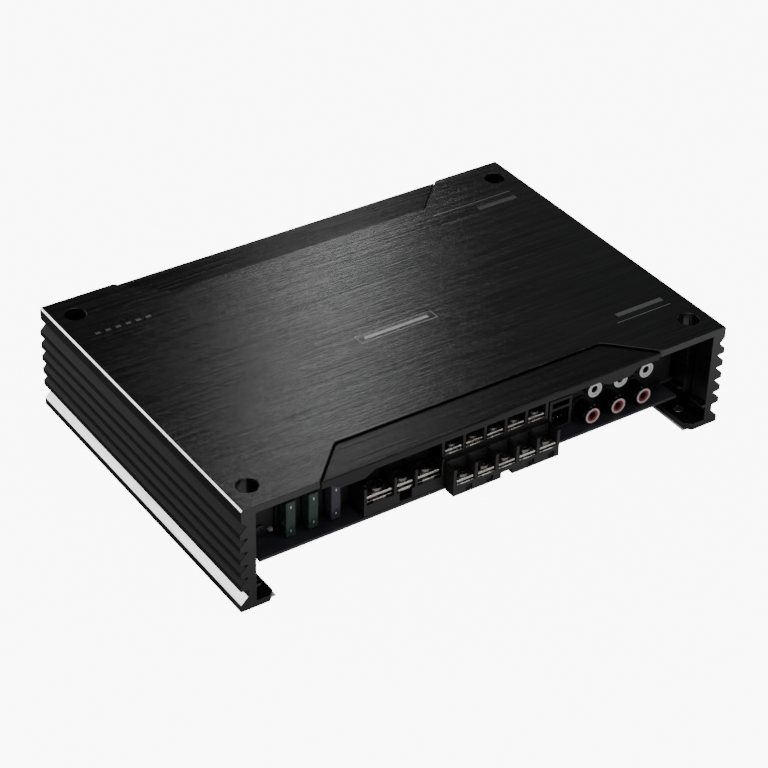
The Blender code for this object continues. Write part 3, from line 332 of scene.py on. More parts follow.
def make_tinted(name, tint, deep):
    """Clear coloured fuse body with faint flow lines and a slightly dulled face."""
    material, tree, shader = new_finish(name, Metallic=0.0, Transmission_Weight=0.55, IOR=1.5)
    skin = use(tree, SKIN, Scale=1200.0)
    wear = use(tree, WEAR, Radius=0.0003, Patch_Scale=800.0, Amount=0.35)["Mask"]
    colour = mixed(tree, skin["Tone"], tint, deep)
    colour = mixed(tree, wear, colour, tuple(min(1.0, part + 0.3) for part in tint))
    feed(tree, shader, Base_Color=colour,
         Roughness=ramp(tree, skin["Tone"], 0.0, 1.0, 0.14, 0.3))
    raised(tree, shader, skin["Height"], 0.00001, 0.2)
    return material


def make_board(name):
    """Solder mask over copper: square-cornered tracks and small round pads."""
    material, tree, shader = new_finish(name, Metallic=0.0, Coat_Weight=0.3)
    place = object_place(tree)
    cells = put(tree, "ShaderNodeTexVoronoi", {"Vector": place, "Scale": 260.0},
                distance="CHEBYCHEV")
    pads = put(tree, "ShaderNodeTexVoronoi", {"Vector": place, "Scale": 420.0})
    track = ramp(tree, cells.outputs["Distance"], 0.36, 0.4)
    pad = ramp(tree, pads.outputs["Distance"], 0.16, 0.13)
    colour = mixed(tree, track, (0.008, 0.07, 0.03), (0.018, 0.12, 0.05))
    colour = mixed(tree, pad, colour, (0.55, 0.53, 0.47))
    feed(tree, shader, Base_Color=colour, Metallic=pad,
         Roughness=ramp(tree, cells.outputs["Distance"], 0.2, 0.6, 0.3, 0.5))
    raised(tree, shader, calc(tree, "ADD", track, pad), 0.00004, 0.5)
    return material


def make_enamel(name, tint):
    """Enamelled copper wire, deeper in colour where the varnish is thick."""
    material, tree, shader = new_finish(name, Metallic=0.85, Coat_Weight=0.5)
    place = object_place(tree)
    varnish = put(tree, "ShaderNodeTexNoise", {"Vector": place, "Scale": 350.0, "Detail": 3.0})
    dark = tuple(part * 0.45 for part in tint)
    feed(tree, shader,
         Base_Color=mixed(tree, ramp(tree, varnish.outputs[0], 0.35, 0.7), tint, dark),
         Roughness=ramp(tree, varnish.outputs[0], 0.3, 0.7, 0.2, 0.42))
    raised(tree, shader, varnish.outputs[0], 0.00003, 0.2)
    return material


INK = (0.55, 0.55, 0.56)
PALE_INK = (0.3, 0.3, 0.31)
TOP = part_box("heatsink_case")[1].z
THIN = 0.4 * MM


def top_print(x0, x1, y0, y1, ink=INK, strength=0.9):
    """Print on the top face between two corners, as a box mask's values."""
    centre = ((x0 + x1) / 2 * MM, (y0 + y1) / 2 * MM, TOP)
    half = ((x1 - x0) / 2 * MM, (y1 - y0) / 2 * MM, THIN)
    return centre, half, ink, strength


def case_prints():
    """Plain rules and bars where the real unit carries words, and a framed plate in the middle."""
    prints = [top_print(-20.5, 21.5, -13.6, -7.0, (0.35, 0.35, 0.35), 0.8),
              top_print(-20.0, 21.0, -13.1, -7.5, (0.006, 0.006, 0.006), 1.0),
              top_print(-17.0, 18.0, -11.3, -9.3, (0.6, 0.6, 0.6), 0.9),
              top_print(71.5, 117.5, 61.6, 62.2, INK, 0.3),
              top_print(94.0, 117.0, 54.6, 57.4, PALE_INK, 0.3),
              top_print(92.2, 119.0, -57.6, -54.8, PALE_INK, 0.4),
              top_print(88.6, 120.0, -61.7, -61.2, INK, 0.3)]
    for index in range(6):
        left = -118.5 + 5.2 * index
        prints.append(top_print(left, left + 2.6, 56.2, 58.0, PALE_INK, 0.4))
    return prints


def panel_prints():
    """Small bars beside the jacks on the front panel."""
    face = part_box("front_panel")[0].y + 8.0 * MM
    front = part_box("rca_jack_pair_1")[0]
    prints = []
    for index in (1, 2, 3):
        low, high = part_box("rca_jack_pair_{}".format(index))
        x = (low.x + high.x) / 2
        for z in (front.z + 0.7 * MM, front.z + 11.0 * MM):
            prints.append(((x - 6.6 * MM, face, z), (1.4 * MM, 12.0 * MM, 0.45 * MM), INK, 0.7))
    return prints


ALONG_X = (70.0, 2400.0, 2400.0)
ALONG_Y = (900.0, 60.0, 900.0)
CASE_BLACK = make_anodised("anodised_black", ALONG_X, (0.09, 0.23), 0.00005, 0.5, case_prints())
COVER_BLACK = make_anodised("anodised_cover_black", ALONG_X, (0.14, 0.28), 0.00005, 0.25)
REAR_COVER_BLACK = make_anodised("anodised_rear_cover_black", ALONG_X, (0.14, 0.28), 0.00005, 0.12)
FIN_BLACK = make_anodised("anodised_fin_black", ALONG_Y, (0.2, 0.3), 0.000003, 0.09)
CHAMFER = make_machined("machined_chamfer", (0.9, 0.9, 0.9), 0.16, 0.3)
STEEL_BLACK = make_painted("powder_black", (0.010, 0.010, 0.012))
STEEL_CHARCOAL = make_painted("powder_charcoal", (0.03, 0.029, 0.036))
PANEL_BLACK = make_painted("powder_black_printed", (0.010, 0.010, 0.012), panel_prints())
BLOCK_BLACK = make_moulded("block_black", (0.008, 0.008, 0.009), (0.018, 0.018, 0.02))
HOLDER_BLACK = make_moulded("holder_black", (0.006, 0.006, 0.007), (0.014, 0.014, 0.016))
KNOB_BLACK = make_moulded("knob_black", (0.012, 0.012, 0.013), (0.03, 0.03, 0.032))
WHITE_PLASTIC = make_moulded("jack_white", (0.78, 0.78, 0.76), (0.86, 0.86, 0.84), (0.25, 0.35))
RED_PLASTIC = make_moulded("jack_red", (0.16, 0.004, 0.008), (0.24, 0.008, 0.012), (0.25, 0.35))
# painted highlight: the lower sockets' pinkish rim colour stands in for a highlight on a plated ring
RIM_PAINTED_HIGHLIGHT = make_moulded("jack_rim_painted_highlight", (0.7, 0.5, 0.5), (0.8, 0.62, 0.62), (0.25, 0.35))
BARREL_BLACK = make_moulded("jack_barrel_black", (0.005, 0.005, 0.005), (0.009, 0.009, 0.009),
                            (0.12, 0.2))
NICKEL = make_plated("nickel", (0.86, 0.84, 0.8))
SCREW_STEEL = make_plated("dark_nickel", (0.3, 0.29, 0.28), (0.2, 0.34))
TIN = make_plated("tinned", (0.9, 0.88, 0.83), (0.2, 0.4))
# painted shade: the fuse colours are darkened to stand in for the shade of the recess they sit in
GREEN_CLEAR_PAINTED_SHADE = make_tinted("fuse_green_clear", (0.07, 0.14, 0.112), (0.04, 0.085, 0.067))
VIOLET_CLEAR_PAINTED_SHADE = make_tinted("fuse_violet_clear", (0.13, 0.115, 0.17), (0.08, 0.07, 0.108))
LENS_CLEAR = make_tinted("lens_clear", (0.75, 0.8, 0.85), (0.6, 0.66, 0.72))
BOARD = make_board("solder_mask")
COPPER = make_enamel("enamelled_copper", (0.62, 0.27, 0.1))
SLEEVE = make_moulded("capacitor_sleeve_blue", (0.008, 0.01, 0.035), (0.02, 0.024, 0.07),
                      (0.18, 0.3))
EPOXY = make_moulded("device_epoxy", (0.012, 0.012, 0.013), (0.03, 0.03, 0.03), (0.5, 0.65))


# ---------------------------------------------------------------- mesh helpers

def settle(name, mesh, materials, body, stands_for=()):
    """Object of the assembly from a finished mesh, riding on its body."""
    piece = bpy.data.objects.new(name, mesh)
    bpy.context.scene.collection.objects.link(piece)
    for material in materials:
        mesh.materials.append(material)
    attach(piece, body)
    if stands_for:
        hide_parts(*stands_for)
    return piece


def smooth_by_angle(mesh, degrees):
    mesh.shade_smooth()
    mesh.set_sharp_from_angle(angle=math.radians(degrees))


def welded_copy(node, name):
    """Copy of a CAD node as one welded mesh, its flat faces made whole again."""
    bm = bmesh.new()
    bm.from_mesh(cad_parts[node].data)
    bmesh.ops.remove_doubles(bm, verts=bm.verts, dist=0.002 * MM)
    bmesh.ops.dissolve_limit(bm, angle_limit=math.radians(0.5), verts=bm.verts, edges=bm.edges)
    bm.normal_update()
    mesh = bpy.data.meshes.new(name)
    bm.to_mesh(mesh)
    bm.free()
    mesh.materials.clear()
    return mesh


def paint(mesh, index, test):
    """Gives a material index to the faces whose centre (x, y, z) passes a test."""
    count = len(mesh.polygons)
    centres = np.empty(count * 3)
    mesh.polygons.foreach_get("center", centres)
    slots = np.empty(count, np.int32)
    mesh.polygons.foreach_get("material_index", slots)
    slots[test(*centres.reshape(-1, 3).T)] = index
    mesh.polygons.foreach_set("material_index", slots)


def ease(piece, width, segments=2, degrees=35.0):
    """Rounds a piece's edges."""
    bevel = piece.modifiers.new("eased_edges", "BEVEL")
    bevel.width = width
    bevel.segments = segments
    bevel.limit_method = "ANGLE"
    bevel.angle_limit = math.radians(degrees)
    bevel.use_clamp_overlap = False
    even = piece.modifiers.new("even_normals", "WEIGHTED_NORMAL")
    even.weight = 100
    even.keep_sharp = True
    return piece


def refined(node, materials, width, body="root", chosen=(), segments=2):
    """CAD node shown as its welded copy with eased edges and its own finishes."""
    name = node + "_finished"
    mesh = welded_copy(node, name)
    for index, test in chosen:
        paint(mesh, index, test)
    smooth_by_angle(mesh, 34.0)
    piece = settle(name, mesh, materials, body, (node,))
    return ease(piece, width, segments)


def grid_quads(rows, columns, round_columns=True):
    """Quads between the points of a grid, row by row; columns may close into a ring."""
    row = np.arange(rows - 1)[:, None]
    column = np.arange(columns if round_columns else columns - 1)[None, :]
    after = (column + 1) % columns
    corners = [row * columns + column, row * columns + after,
               (row + 1) * columns + after, (row + 1) * columns + column]
    return np.stack(corners, axis=-1).reshape(-1, 4)


def shell_mesh(name, parts, degrees=34.0):
    """One mesh of several closed shells, each (points, quads, material index), welded at poles."""
    points = np.concatenate([part[0].reshape(-1, 3) for part in parts])
    starts = np.cumsum([0] + [part[0].size // 3 for part in parts])
    faces = np.concatenate([part[1] + start for part, start in zip(parts, starts)])
    slots = np.concatenate([np.full(len(part[1]), part[2], np.int32) for part in parts])
    mesh = bpy.data.meshes.new(name)
    mesh.from_pydata(points.tolist(), [], faces.tolist())
    mesh.polygons.foreach_set("material_index", slots)
    bm = bmesh.new()
    bm.from_mesh(mesh)
    bmesh.ops.remove_doubles(bm, verts=bm.verts, dist=0.0005 * MM)
    bmesh.ops.recalc_face_normals(bm, faces=bm.faces)
    bm.to_mesh(mesh)
    bm.free()
    smooth_by_angle(mesh, degrees)
    return mesh


AXIS_ORDER = {"X": (2, 0, 1), "Y": (0, 2, 1), "Z": (0, 1, 2)}


def turned(profile, centre, axis="Z", sides=48, index=0, sign=1.0):
    """Profile of (radius, distance) points carried once round an axis: (r cos a, r sin a, d)."""
    radius, distance = np.array(profile, float).T
    angle = np.arange(sides) * 2.0 * math.pi / sides
    local = np.stack([radius[:, None] * np.cos(angle), radius[:, None] * np.sin(angle),
                      np.broadcast_to(sign * distance[:, None], (len(radius), sides))], axis=-1)
    points = local[..., AXIS_ORDER[axis]] + np.array(centre)
    return points, grid_quads(len(radius), sides), index


def rounded_outline(half_u, half_v, corner, inset, steps):
    """Rounded rectangle drawn in by an inset: four quarter circles about fixed corner centres."""
    angle = np.linspace(0.0, math.pi / 2, steps + 1)
    turns = np.concatenate([angle + quarter * math.pi / 2 for quarter in range(4)])
    signs = np.repeat(np.array([(1, 1), (-1, 1), (-1, -1), (1, -1)], float), steps + 1, axis=0)
    centres = signs * np.array([half_u - corner, half_v - corner])
    return centres + (corner - inset) * np.stack([np.cos(turns), np.sin(turns)], axis=-1)


def slab(low, high, edge, axis="Z", corner=None, index=0, steps=3):
    """Rounded rectangle carried along an axis, drawn in by a quarter circle at both ends."""
    order = AXIS_ORDER[axis]
    low = np.array(low, float)
    high = np.array(high, float)
    along = {"X": 0, "Y": 1, "Z": 2}[axis]
    across = [number for number in range(3) if number != along]
    middle = (low + high) / 2
    half_u, half_v = (high[across] - low[across]) / 2
    corner = max(edge, corner or edge)
    quarter = np.linspace(0.0, math.pi / 2, steps + 1)
    insets = edge * (1.0 - np.sin(quarter))
    rises = edge * (1.0 - np.cos(quarter))
    heights = np.concatenate([[low[along]], low[along] + rises, high[along] - rises[::-1],
                              [high[along]]])
    insets = np.concatenate([[edge], insets, insets[::-1], [edge]])
    rings = []
    for number, (height, inset) in enumerate(zip(heights, insets)):
        ring = rounded_outline(half_u, half_v, corner, inset, steps)
        if number in (0, len(heights) - 1):
            ring = ring * 0.0
        rings.append(np.column_stack([ring, np.full(len(ring), height - middle[along])]))
    points = np.array(rings)[..., order] + middle
    return points, grid_quads(len(rings), points.shape[1]), index


# ---------------------------------------------------------------- screws

def eased_square(lines, straight):
    """Square grid whose middle stays straight and whose rim is a circle of radius one."""
    u, v = np.meshgrid(lines, lines, indexing="ij")
    reach = np.maximum(np.abs(u), np.abs(v))
    far = np.maximum(np.hypot(u, v), 1e-9)
    blend = np.clip((reach - straight) / (1.0 - straight), 0.0, 1.0)
    blend = blend * blend * (3.0 - 2.0 * blend)
    share = 1.0 - blend + blend * reach / far
    return u, v, u * share, v * share


def border_order(count):
    """Indices of a square grid's border points, once round."""
    index = np.arange(count * count).reshape(count, count)
    return np.concatenate([index[0, :-1], index[:-1, -1], index[-1, :0:-1], index[:0:-1, 0]])


def cross_screw(centre, head, head_height, shank, length, pitch, axis="Z", sign=1.0, index=0):
    """Pan head with a cross recess on a threaded shank.

    Head: height falls with the square of the distance from the middle, less the recess depth
    inside the cross. Shank: radius = root + depth * triangle wave of (z / pitch - turn), so the
    thread climbs once round per pitch.
    """
    cross = 0.13
    long = 0.66
    wall = 0.025
    lines = np.array([0.0, cross - wall, cross + wall, 0.4, long - wall, long + wall, 0.82, 0.93, 1.0])
    lines = np.concatenate([-lines[:0:-1], lines])
    u, v, x, y = eased_square(lines, long + 2 * wall)
    recess = ((np.abs(u) < cross) & (np.abs(v) < long)) | ((np.abs(v) < cross) & (np.abs(u) < long))
    reach = np.maximum(np.abs(u), np.abs(v))
    crown = 0.3 * head_height
    z = head_height - crown * (x * x + y * y)
    z = z - recess * 0.5 * head_height * (1.25 - reach)
    top = np.stack([x * head, y * head, z], axis=-1)
    count = len(lines)
    rim = border_order(count)
    flat = top.reshape(-1, 3)
    turn = np.arctan2(flat[rim, 1], flat[rim, 0])
    round_x = np.cos(turn)
    round_y = np.sin(turn)
    levels = [(head, 0.45 * head_height), (head, 0.1 * head_height), (0.96 * head, 0.0), (shank, 0.0)]
    rings = [np.stack([r * round_x, r * round_y, np.full(len(turn), d)], axis=-1) for r, d in levels]
    depth = 0.14 * shank
    steps = np.arange(0.0, length - depth, pitch / 4)
    for level in steps[1:]:
        wave = np.abs(((level / pitch - turn / (2.0 * math.pi)) % 1.0) - 0.5) * 2.0
        radius = shank - depth * wave
        rings.append(np.stack([radius * round_x, radius * round_y, np.full(len(turn), -level)], -1))
    for share, level in ((0.75, length), (0.0, length)):
        rings.append(np.stack([share * shank * round_x, share * shank * round_y,
                               np.full(len(turn), -level)], axis=-1))
    local = np.concatenate([flat] + rings)
    faces = [grid_quads(count, count, round_columns=False)]
    start = count * count
    size = len(rim)
    first = np.stack([rim, np.roll(rim, -1), start + (np.arange(size) + 1) % size,
                      start + np.arange(size)], axis=-1)
    faces += [first, grid_quads(len(rings), size) + start]
    local[:, 2] *= sign
    points = local[:, AXIS_ORDER[axis]] + np.array(centre)
    return points, np.concatenate(faces), index


def middle_of(node):
    """Middle of a node's box, and the box's two corners."""
    low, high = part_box(node)
    return (low + high) / 2, low, high


def terminal_names():
    names = ["battery", "remote", "ground"]
    for row in ("lower", "upper"):
        names += ["speaker_{}_{}".format(row, cell) for cell in range(1, 6)]
    return names


def part_name(terminal, part):
    """Node of a terminal's clamp or screw."""
    if terminal.startswith("speaker"):
        return terminal.replace("speaker", "speaker_" + part)
    return "{}_{}".format(terminal, part)


POWER_HEAD_HEIGHT = 2.4 * MM
SPEAKER_HEAD_HEIGHT = 2.0 * MM
CONTACT_RISE = 1.05 * MM       # a contact bar's underside over its screw's tip


def make_terminal(terminal):
    """Screw, clamp plate and fixed contact of one terminal."""
    small = terminal.startswith("speaker")
    screw = part_name(terminal, "screw")
    clamp = part_name(terminal, "clamp")
    centre, low, high = middle_of(screw)
    head = (high.x - low.x) / 2
    height = SPEAKER_HEAD_HEIGHT if small else POWER_HEAD_HEIGHT
    pitch = (0.5 if small else 0.7) * MM
    shank = (1.5 if small else 2.0) * MM
    under_head = high.z - height
    shape = cross_screw((centre.x, centre.y, under_head), head, height, shank,
                        under_head - low.z, pitch)
    settle(screw + "_threaded", shell_mesh(screw, [shape]), [SCREW_STEEL], screw,
           (screw,))
    refined(clamp, [TIN], 0.35 * MM, clamp, segments=3)
    make_contact(terminal, small, low.z)


def make_contact(terminal, small, tip):
    """Fixed contact bar under a clamp: a flat bar on each side of its screw and a strip in front of it.
    """
    clamp_low, clamp_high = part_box(part_name(terminal, "clamp"))
    centre = (clamp_low + clamp_high) / 2
    thickness = (1.05 if small else 1.35) * MM
    base = tip + CONTACT_RISE
    hole = (2.3 if small else 3.0) * MM
    front = clamp_low.y - 0.15 * MM
    back = clamp_high.y - 0.2 * MM
    parts = []
    for side in (-1, 1):
        outer = clamp_low.x if side < 0 else clamp_high.x
        inner = centre.x + side * hole
        xs = sorted((outer, inner))
        parts.append(slab((xs[0], front, base), (xs[1], back, base + thickness), 0.2 * MM,
                          corner=0.25 * MM))
    parts.append(slab((clamp_low.x, front, base), (clamp_high.x, centre.y - hole, base + thickness),
                      0.2 * MM, corner=0.25 * MM))
    settle(terminal + "_contact", shell_mesh(terminal + "_contact", parts), [TIN], "root")


for terminal in terminal_names():
    make_terminal(terminal)


# ---------------------------------------------------------------- case, covers and panels

FIN_ROOT = 126.0 * MM
FOOT_SLOPE_OUT = 127.5 * MM
FOOT_SLOPE = (4.0 * MM, 7.0 * MM)
CAP_RIM = 129.2 * MM
CAP_CHAMFER_LOW = 53.2 * MM
FIN_TOP = 53.5 * MM
END_FACE = 89.9 * MM           # faces beyond this are the saw cut at the case's ends


def fin_side(x, _y, z):
    """Faces of the fins and the foot, below the top's edge."""
    return (np.abs(x) > FIN_ROOT) & (z < FIN_TOP)


def bright_edge(x, y, z):
    """Machined slope along the top of each foot."""
    low, high = FOOT_SLOPE
    return (np.abs(x) > FOOT_SLOPE_OUT) & (z > low) & (z < high) & (np.abs(y) < END_FACE)


def top_chamfer(x, y, z):
    """Machined chamfer between the top and its side edges."""
    return (np.abs(x) > CAP_RIM) & (z > CAP_CHAMFER_LOW) & (np.abs(y) < END_FACE)


refined("heatsink_case", [CASE_BLACK, FIN_BLACK, CHAMFER], 0.25 * MM,
        chosen=[(1, fin_side), (2, bright_edge), (2, top_chamfer)])
refined("front_terminal_cover", [COVER_BLACK], 0.5 * MM, "front_cover")
refined("rear_control_cover", [REAR_COVER_BLACK], 0.5 * MM, "rear_cover")
refined("bottom_plate", [STEEL_CHARCOAL], 0.2 * MM)
refined("front_panel", [PANEL_BLACK], 0.15 * MM)
refined("rear_panel", [STEEL_BLACK], 0.15 * MM)
refined("power_terminal_block", [BLOCK_BLACK], 0.2 * MM)
refined("speaker_terminal_block", [BLOCK_BLACK], 0.2 * MM)
refined("fuse_holder", [HOLDER_BLACK], 0.15 * MM)
refined("control_input_socket", [BLOCK_BLACK], 0.2 * MM)
refined("main_circuit_board", [BOARD], 0.1 * MM)
refined("control_board", [BOARD], 0.15 * MM)
refined("transistor_row_left", [EPOXY], 0.2 * MM)
refined("transistor_row_right", [EPOXY], 0.2 * MM)
for index in (1, 2, 3):
    refined("filter_switch_{}".format(index), [KNOB_BLACK], 0.2 * MM,
            "filter_switch_{}".format(index))


# ---------------------------------------------------------------- phono jacks

PANEL_FACE = 65.5 * MM         # outer faces of both panels, from the middle
PANEL_BACK = 63.7 * MM         # just inside the front panel
KNOB_FACE = 65.8 * MM          # underside of a knob, clear of the panel
JACK_HEIGHTS = (18.7 * MM, 33.4 * MM)
JACK_SHELL = 4.15 * MM
JACK_BORE = 3.9 * MM


def make_jack_pair(index):
    """Moulding behind the panel and two sockets: black barrel, rim, coloured insert and a lined
    bore, each a profile turned once round its axis."""
    node = "rca_jack_pair_{}".format(index)
    centre, low, high = middle_of(node)
    panel_back = -PANEL_BACK
    body = slab((low.x, panel_back, low.z), high, 0.4 * MM, axis="Y", corner=0.6 * MM)
    settle(node + "_moulding", shell_mesh(node + "_moulding", [body]), [BLOCK_BLACK], "root",
           (node,))
    tip = low.y
    reach = panel_back - tip
    # the lower rims carry a painted pinkish highlight; the upper rims are white plastic
    rows = ((RED_PLASTIC, RIM_PAINTED_HIGHLIGHT, "lower"), (WHITE_PLASTIC, WHITE_PLASTIC, "upper"))
    for height, (plastic, rim, label) in zip(JACK_HEIGHTS, rows):
        spot = (centre.x, panel_back, height)
        shell = [(0.0, 0.0), (JACK_SHELL, 0.0), (JACK_SHELL, 0.86 * reach),
                 (JACK_SHELL - 0.12 * MM, 0.87 * reach), (JACK_SHELL - 0.12 * MM, 0.9 * reach),
                 (JACK_SHELL, 0.91 * reach), (JACK_SHELL, reach - 0.5 * MM),
                 (JACK_BORE, reach - 0.3 * MM), (JACK_BORE, 0.4 * reach), (0.0, 0.4 * reach)]
        collar = [(0.0, 1.9 * MM), (JACK_SHELL + 0.1 * MM, 1.9 * MM), (5.2 * MM, 1.9 * MM),
                  (5.2 * MM, 2.7 * MM), (5.0 * MM, 2.9 * MM), (JACK_SHELL + 0.1 * MM, 2.9 * MM),
                  (0.0, 2.9 * MM)]
        ring = [(3.0 * MM, reach - 2.0 * MM), (3.85 * MM, reach - 2.0 * MM),
                (3.85 * MM, reach - 0.3 * MM), (3.95 * MM, reach - 0.25 * MM),
                (3.95 * MM, reach - 0.1 * MM), (3.8 * MM, reach), (3.05 * MM, reach),
                (2.9 * MM, reach - 0.2 * MM), (2.9 * MM, reach - 2.0 * MM), (3.0 * MM, reach - 2.0 * MM)]
        core = [(0.0, 0.41 * reach), (2.85 * MM, 0.41 * reach), (2.85 * MM, reach - 0.5 * MM),
                (2.7 * MM, reach - 0.35 * MM), (1.95 * MM, reach - 0.35 * MM),
                (1.8 * MM, reach - 0.6 * MM), (1.8 * MM, reach - 8.0 * MM),
                (0.0, reach - 8.0 * MM)]
        lining = [(0.0, reach - 7.95 * MM), (1.78 * MM, reach - 7.95 * MM),
                  (1.78 * MM, reach - 0.9 * MM), (1.6 * MM, reach - 0.9 * MM),
                  (1.6 * MM, reach - 7.5 * MM), (0.0, reach - 7.5 * MM)]
        parts = [turned(shell, spot, "Y", 64, 0, -1.0), turned(ring, spot, "Y", 64, 1, -1.0),
                 turned(core, spot, "Y", 48, 2, -1.0), turned(lining, spot, "Y", 32, 3, -1.0),
                 turned(collar, spot, "Y", 48, 3, -1.0)]
        settle("{}_{}".format(node, label), shell_mesh(node + label, parts, 30.0),
               [BARREL_BLACK, rim, plastic, BLOCK_BLACK], "root")


for index in (1, 2, 3):
    make_jack_pair(index)


# ---------------------------------------------------------------- fuses

def make_fuse(index, plastic):
    """Clear body of a blade fuse with its blades and the two test points."""
    node = "fuse_{}".format(index)
    centre, low, high = middle_of(node)
    face = low.y + 6.0 * MM
    neck = 8.25 * MM
    rise = 0.35 * MM
    body = slab((low.x, low.y, low.z), (high.x, face, high.z), 0.5 * MM, axis="Y", corner=0.8 * MM)
    stem = slab((low.x + rise, face - 0.8 * MM, centre.z - neck),
                (high.x - rise, face + 5.5 * MM, centre.z + neck), 0.3 * MM, axis="Y",
                corner=0.5 * MM)
    blades = []
    for side in (-1, 1):
        z = centre.z + side * 5.0 * MM
        blades.append(slab((centre.x - 0.32 * MM, face + 5.6 * MM, z - 2.5 * MM),
                           (centre.x + 0.32 * MM, high.y, z + 2.5 * MM), 0.12 * MM, axis="Y"))
        point = centre.z + side * 6.4 * MM
        blades.append(slab((centre.x - 0.35 * MM, low.y - 0.03 * MM, point - 0.75 * MM),
                           (centre.x + 0.35 * MM, low.y + 0.5 * MM, point + 0.75 * MM),
                           0.1 * MM, axis="Y", corner=0.3 * MM))
    settle(node + "_body", shell_mesh(node + "_body", [body, stem]), [plastic], node, (node,))
    settle(node + "_metal", shell_mesh(node + "_metal", blades), [TIN], node)


make_fuse(1, GREEN_CLEAR_PAINTED_SHADE)
make_fuse(2, GREEN_CLEAR_PAINTED_SHADE)
make_fuse(3, VIOLET_CLEAR_PAINTED_SHADE)


# ---------------------------------------------------------------- indicator, pins and fixings

def make_indicator():
    """Domed lens: a quarter circle turned about its axis, on a short flange."""
    centre, low, high = middle_of("indicator_lens")
    radius = (high.x - low.x) / 2 - 0.3 * MM
    length = high.y - low.y
    angle = np.linspace(0.0, math.pi / 2, 9)
    dome = np.column_stack([radius * np.cos(angle), length - radius + radius * np.sin(angle)])
    profile = np.concatenate([[(0.0, 0.0), (radius + 0.3 * MM, 0.0), (radius + 0.3 * MM, 0.5 * MM),
                               (radius, 0.5 * MM)], dome])
    profile[-1, 0] = 0.0
    shape = turned(profile, (centre.x, high.y, centre.z), "Y", 40, 0, -1.0)
    settle("indicator_dome", shell_mesh("indicator_dome", [shape]), [LENS_CLEAR], "root",
           ("indicator_lens",))


def make_socket_pins():
    """Two rows of square contact pins standing in the input socket."""
    centre, low, high = middle_of("control_input_socket")
    parts = []
    for row in (0, 1):
        for column in range(4):
            x = centre.x + (column - 1.5) * 2.2 * MM
            z = low.z + (4.3 + 4.0 * row) * MM
            parts.append(slab((x - 0.32 * MM, low.y + 3.2 * MM, z - 0.32 * MM),
                              (x + 0.32 * MM, low.y + 9.4 * MM, z + 0.32 * MM), 0.15 * MM, axis="Y"))
    settle("input_socket_pins", shell_mesh("input_socket_pins", parts), [TIN], "root")


def make_fixings():
    """Small cross-head screws that hold the front and rear panels."""
    small = (2.6 * MM, 1.5 * MM, 1.2 * MM, 1.2 * MM, 0.5 * MM)
    spots = [(-107.0, 18.4), (-20.0, 43.0), (111.5, 43.0), (-112.0, 43.0)]
    parts = [cross_screw((x * MM, -PANEL_FACE, z * MM), *small, axis="Y", sign=-1.0) for x, z in spots]
    spots = [(-110.0, 43.0), (110.0, 43.0), (-110.0, 19.0), (110.0, 19.0)]
    parts += [cross_screw((x * MM, PANEL_FACE, z * MM), *small, axis="Y", sign=1.0) for x, z in spots]
    settle("panel_screws", shell_mesh("panel_screws", parts), [STEEL_BLACK], "root")


make_indicator()
make_socket_pins()
make_fixings()


# ---------------------------------------------------------------- knobs

def make_knob(node):
    """Fluted knob: radius = rim less a rounded flute that repeats round the axis, on its shaft."""
    centre, low, high = middle_of(node)
    rim = (high.x - low.x) / 2
    face = KNOB_FACE
    top = high.y - face
    sides = 96
    angle = np.arange(sides) * 2.0 * math.pi / sides
    flute = np.clip(np.cos(24 * angle), 0.0, 1.0)
    profile = [(0.0, 0.0, 0.0), (0.93, 0.0, 0.0), (1.0, 0.25, 0.0), (1.0, 0.5, 1.0), (1.0, 3.9, 1.0),
               (0.985, 4.3, 0.6), (0.86, 4.9, 0.0), (0.8, top / MM, 0.0), (0.35, top / MM, 0.0),
               (0.0, top / MM, 0.0)]
    rings = []
    for share, distance, depth in profile:
        radius = rim * share - depth * 0.22 * MM * flute
        rings.append(np.stack([radius * np.cos(angle), radius * np.sin(angle),
                               np.full(sides, distance * MM)], axis=-1))
    points = np.array(rings)[..., AXIS_ORDER["Y"]] + np.array((centre.x, face, centre.z))
    body = (points, grid_quads(len(rings), sides), 0)
    shaft = turned([(0.0, 0.0), (1.5 * MM, 0.0), (1.5 * MM, face - low.y + 0.1 * MM),
                    (0.0, face - low.y + 0.1 * MM)], (centre.x, low.y, centre.z), "Y", 32, 1)
    mark = slab((centre.x - 0.3 * MM, face + top - 0.1 * MM, centre.z + 0.6 * MM),
                (centre.x + 0.3 * MM, face + top, centre.z + 3.2 * MM), 0.04 * MM,
                axis="Y", corner=0.12 * MM, index=2)
    settle(node + "_fluted", shell_mesh(node + "_fluted", [body, shaft, mark]),
           [KNOB_BLACK, NICKEL, WHITE_PLASTIC], node, (node,))


for name in ("gain_front", "gain_rear", "gain_sub", "low_pass", "high_pass"):
    make_knob(name + "_knob")


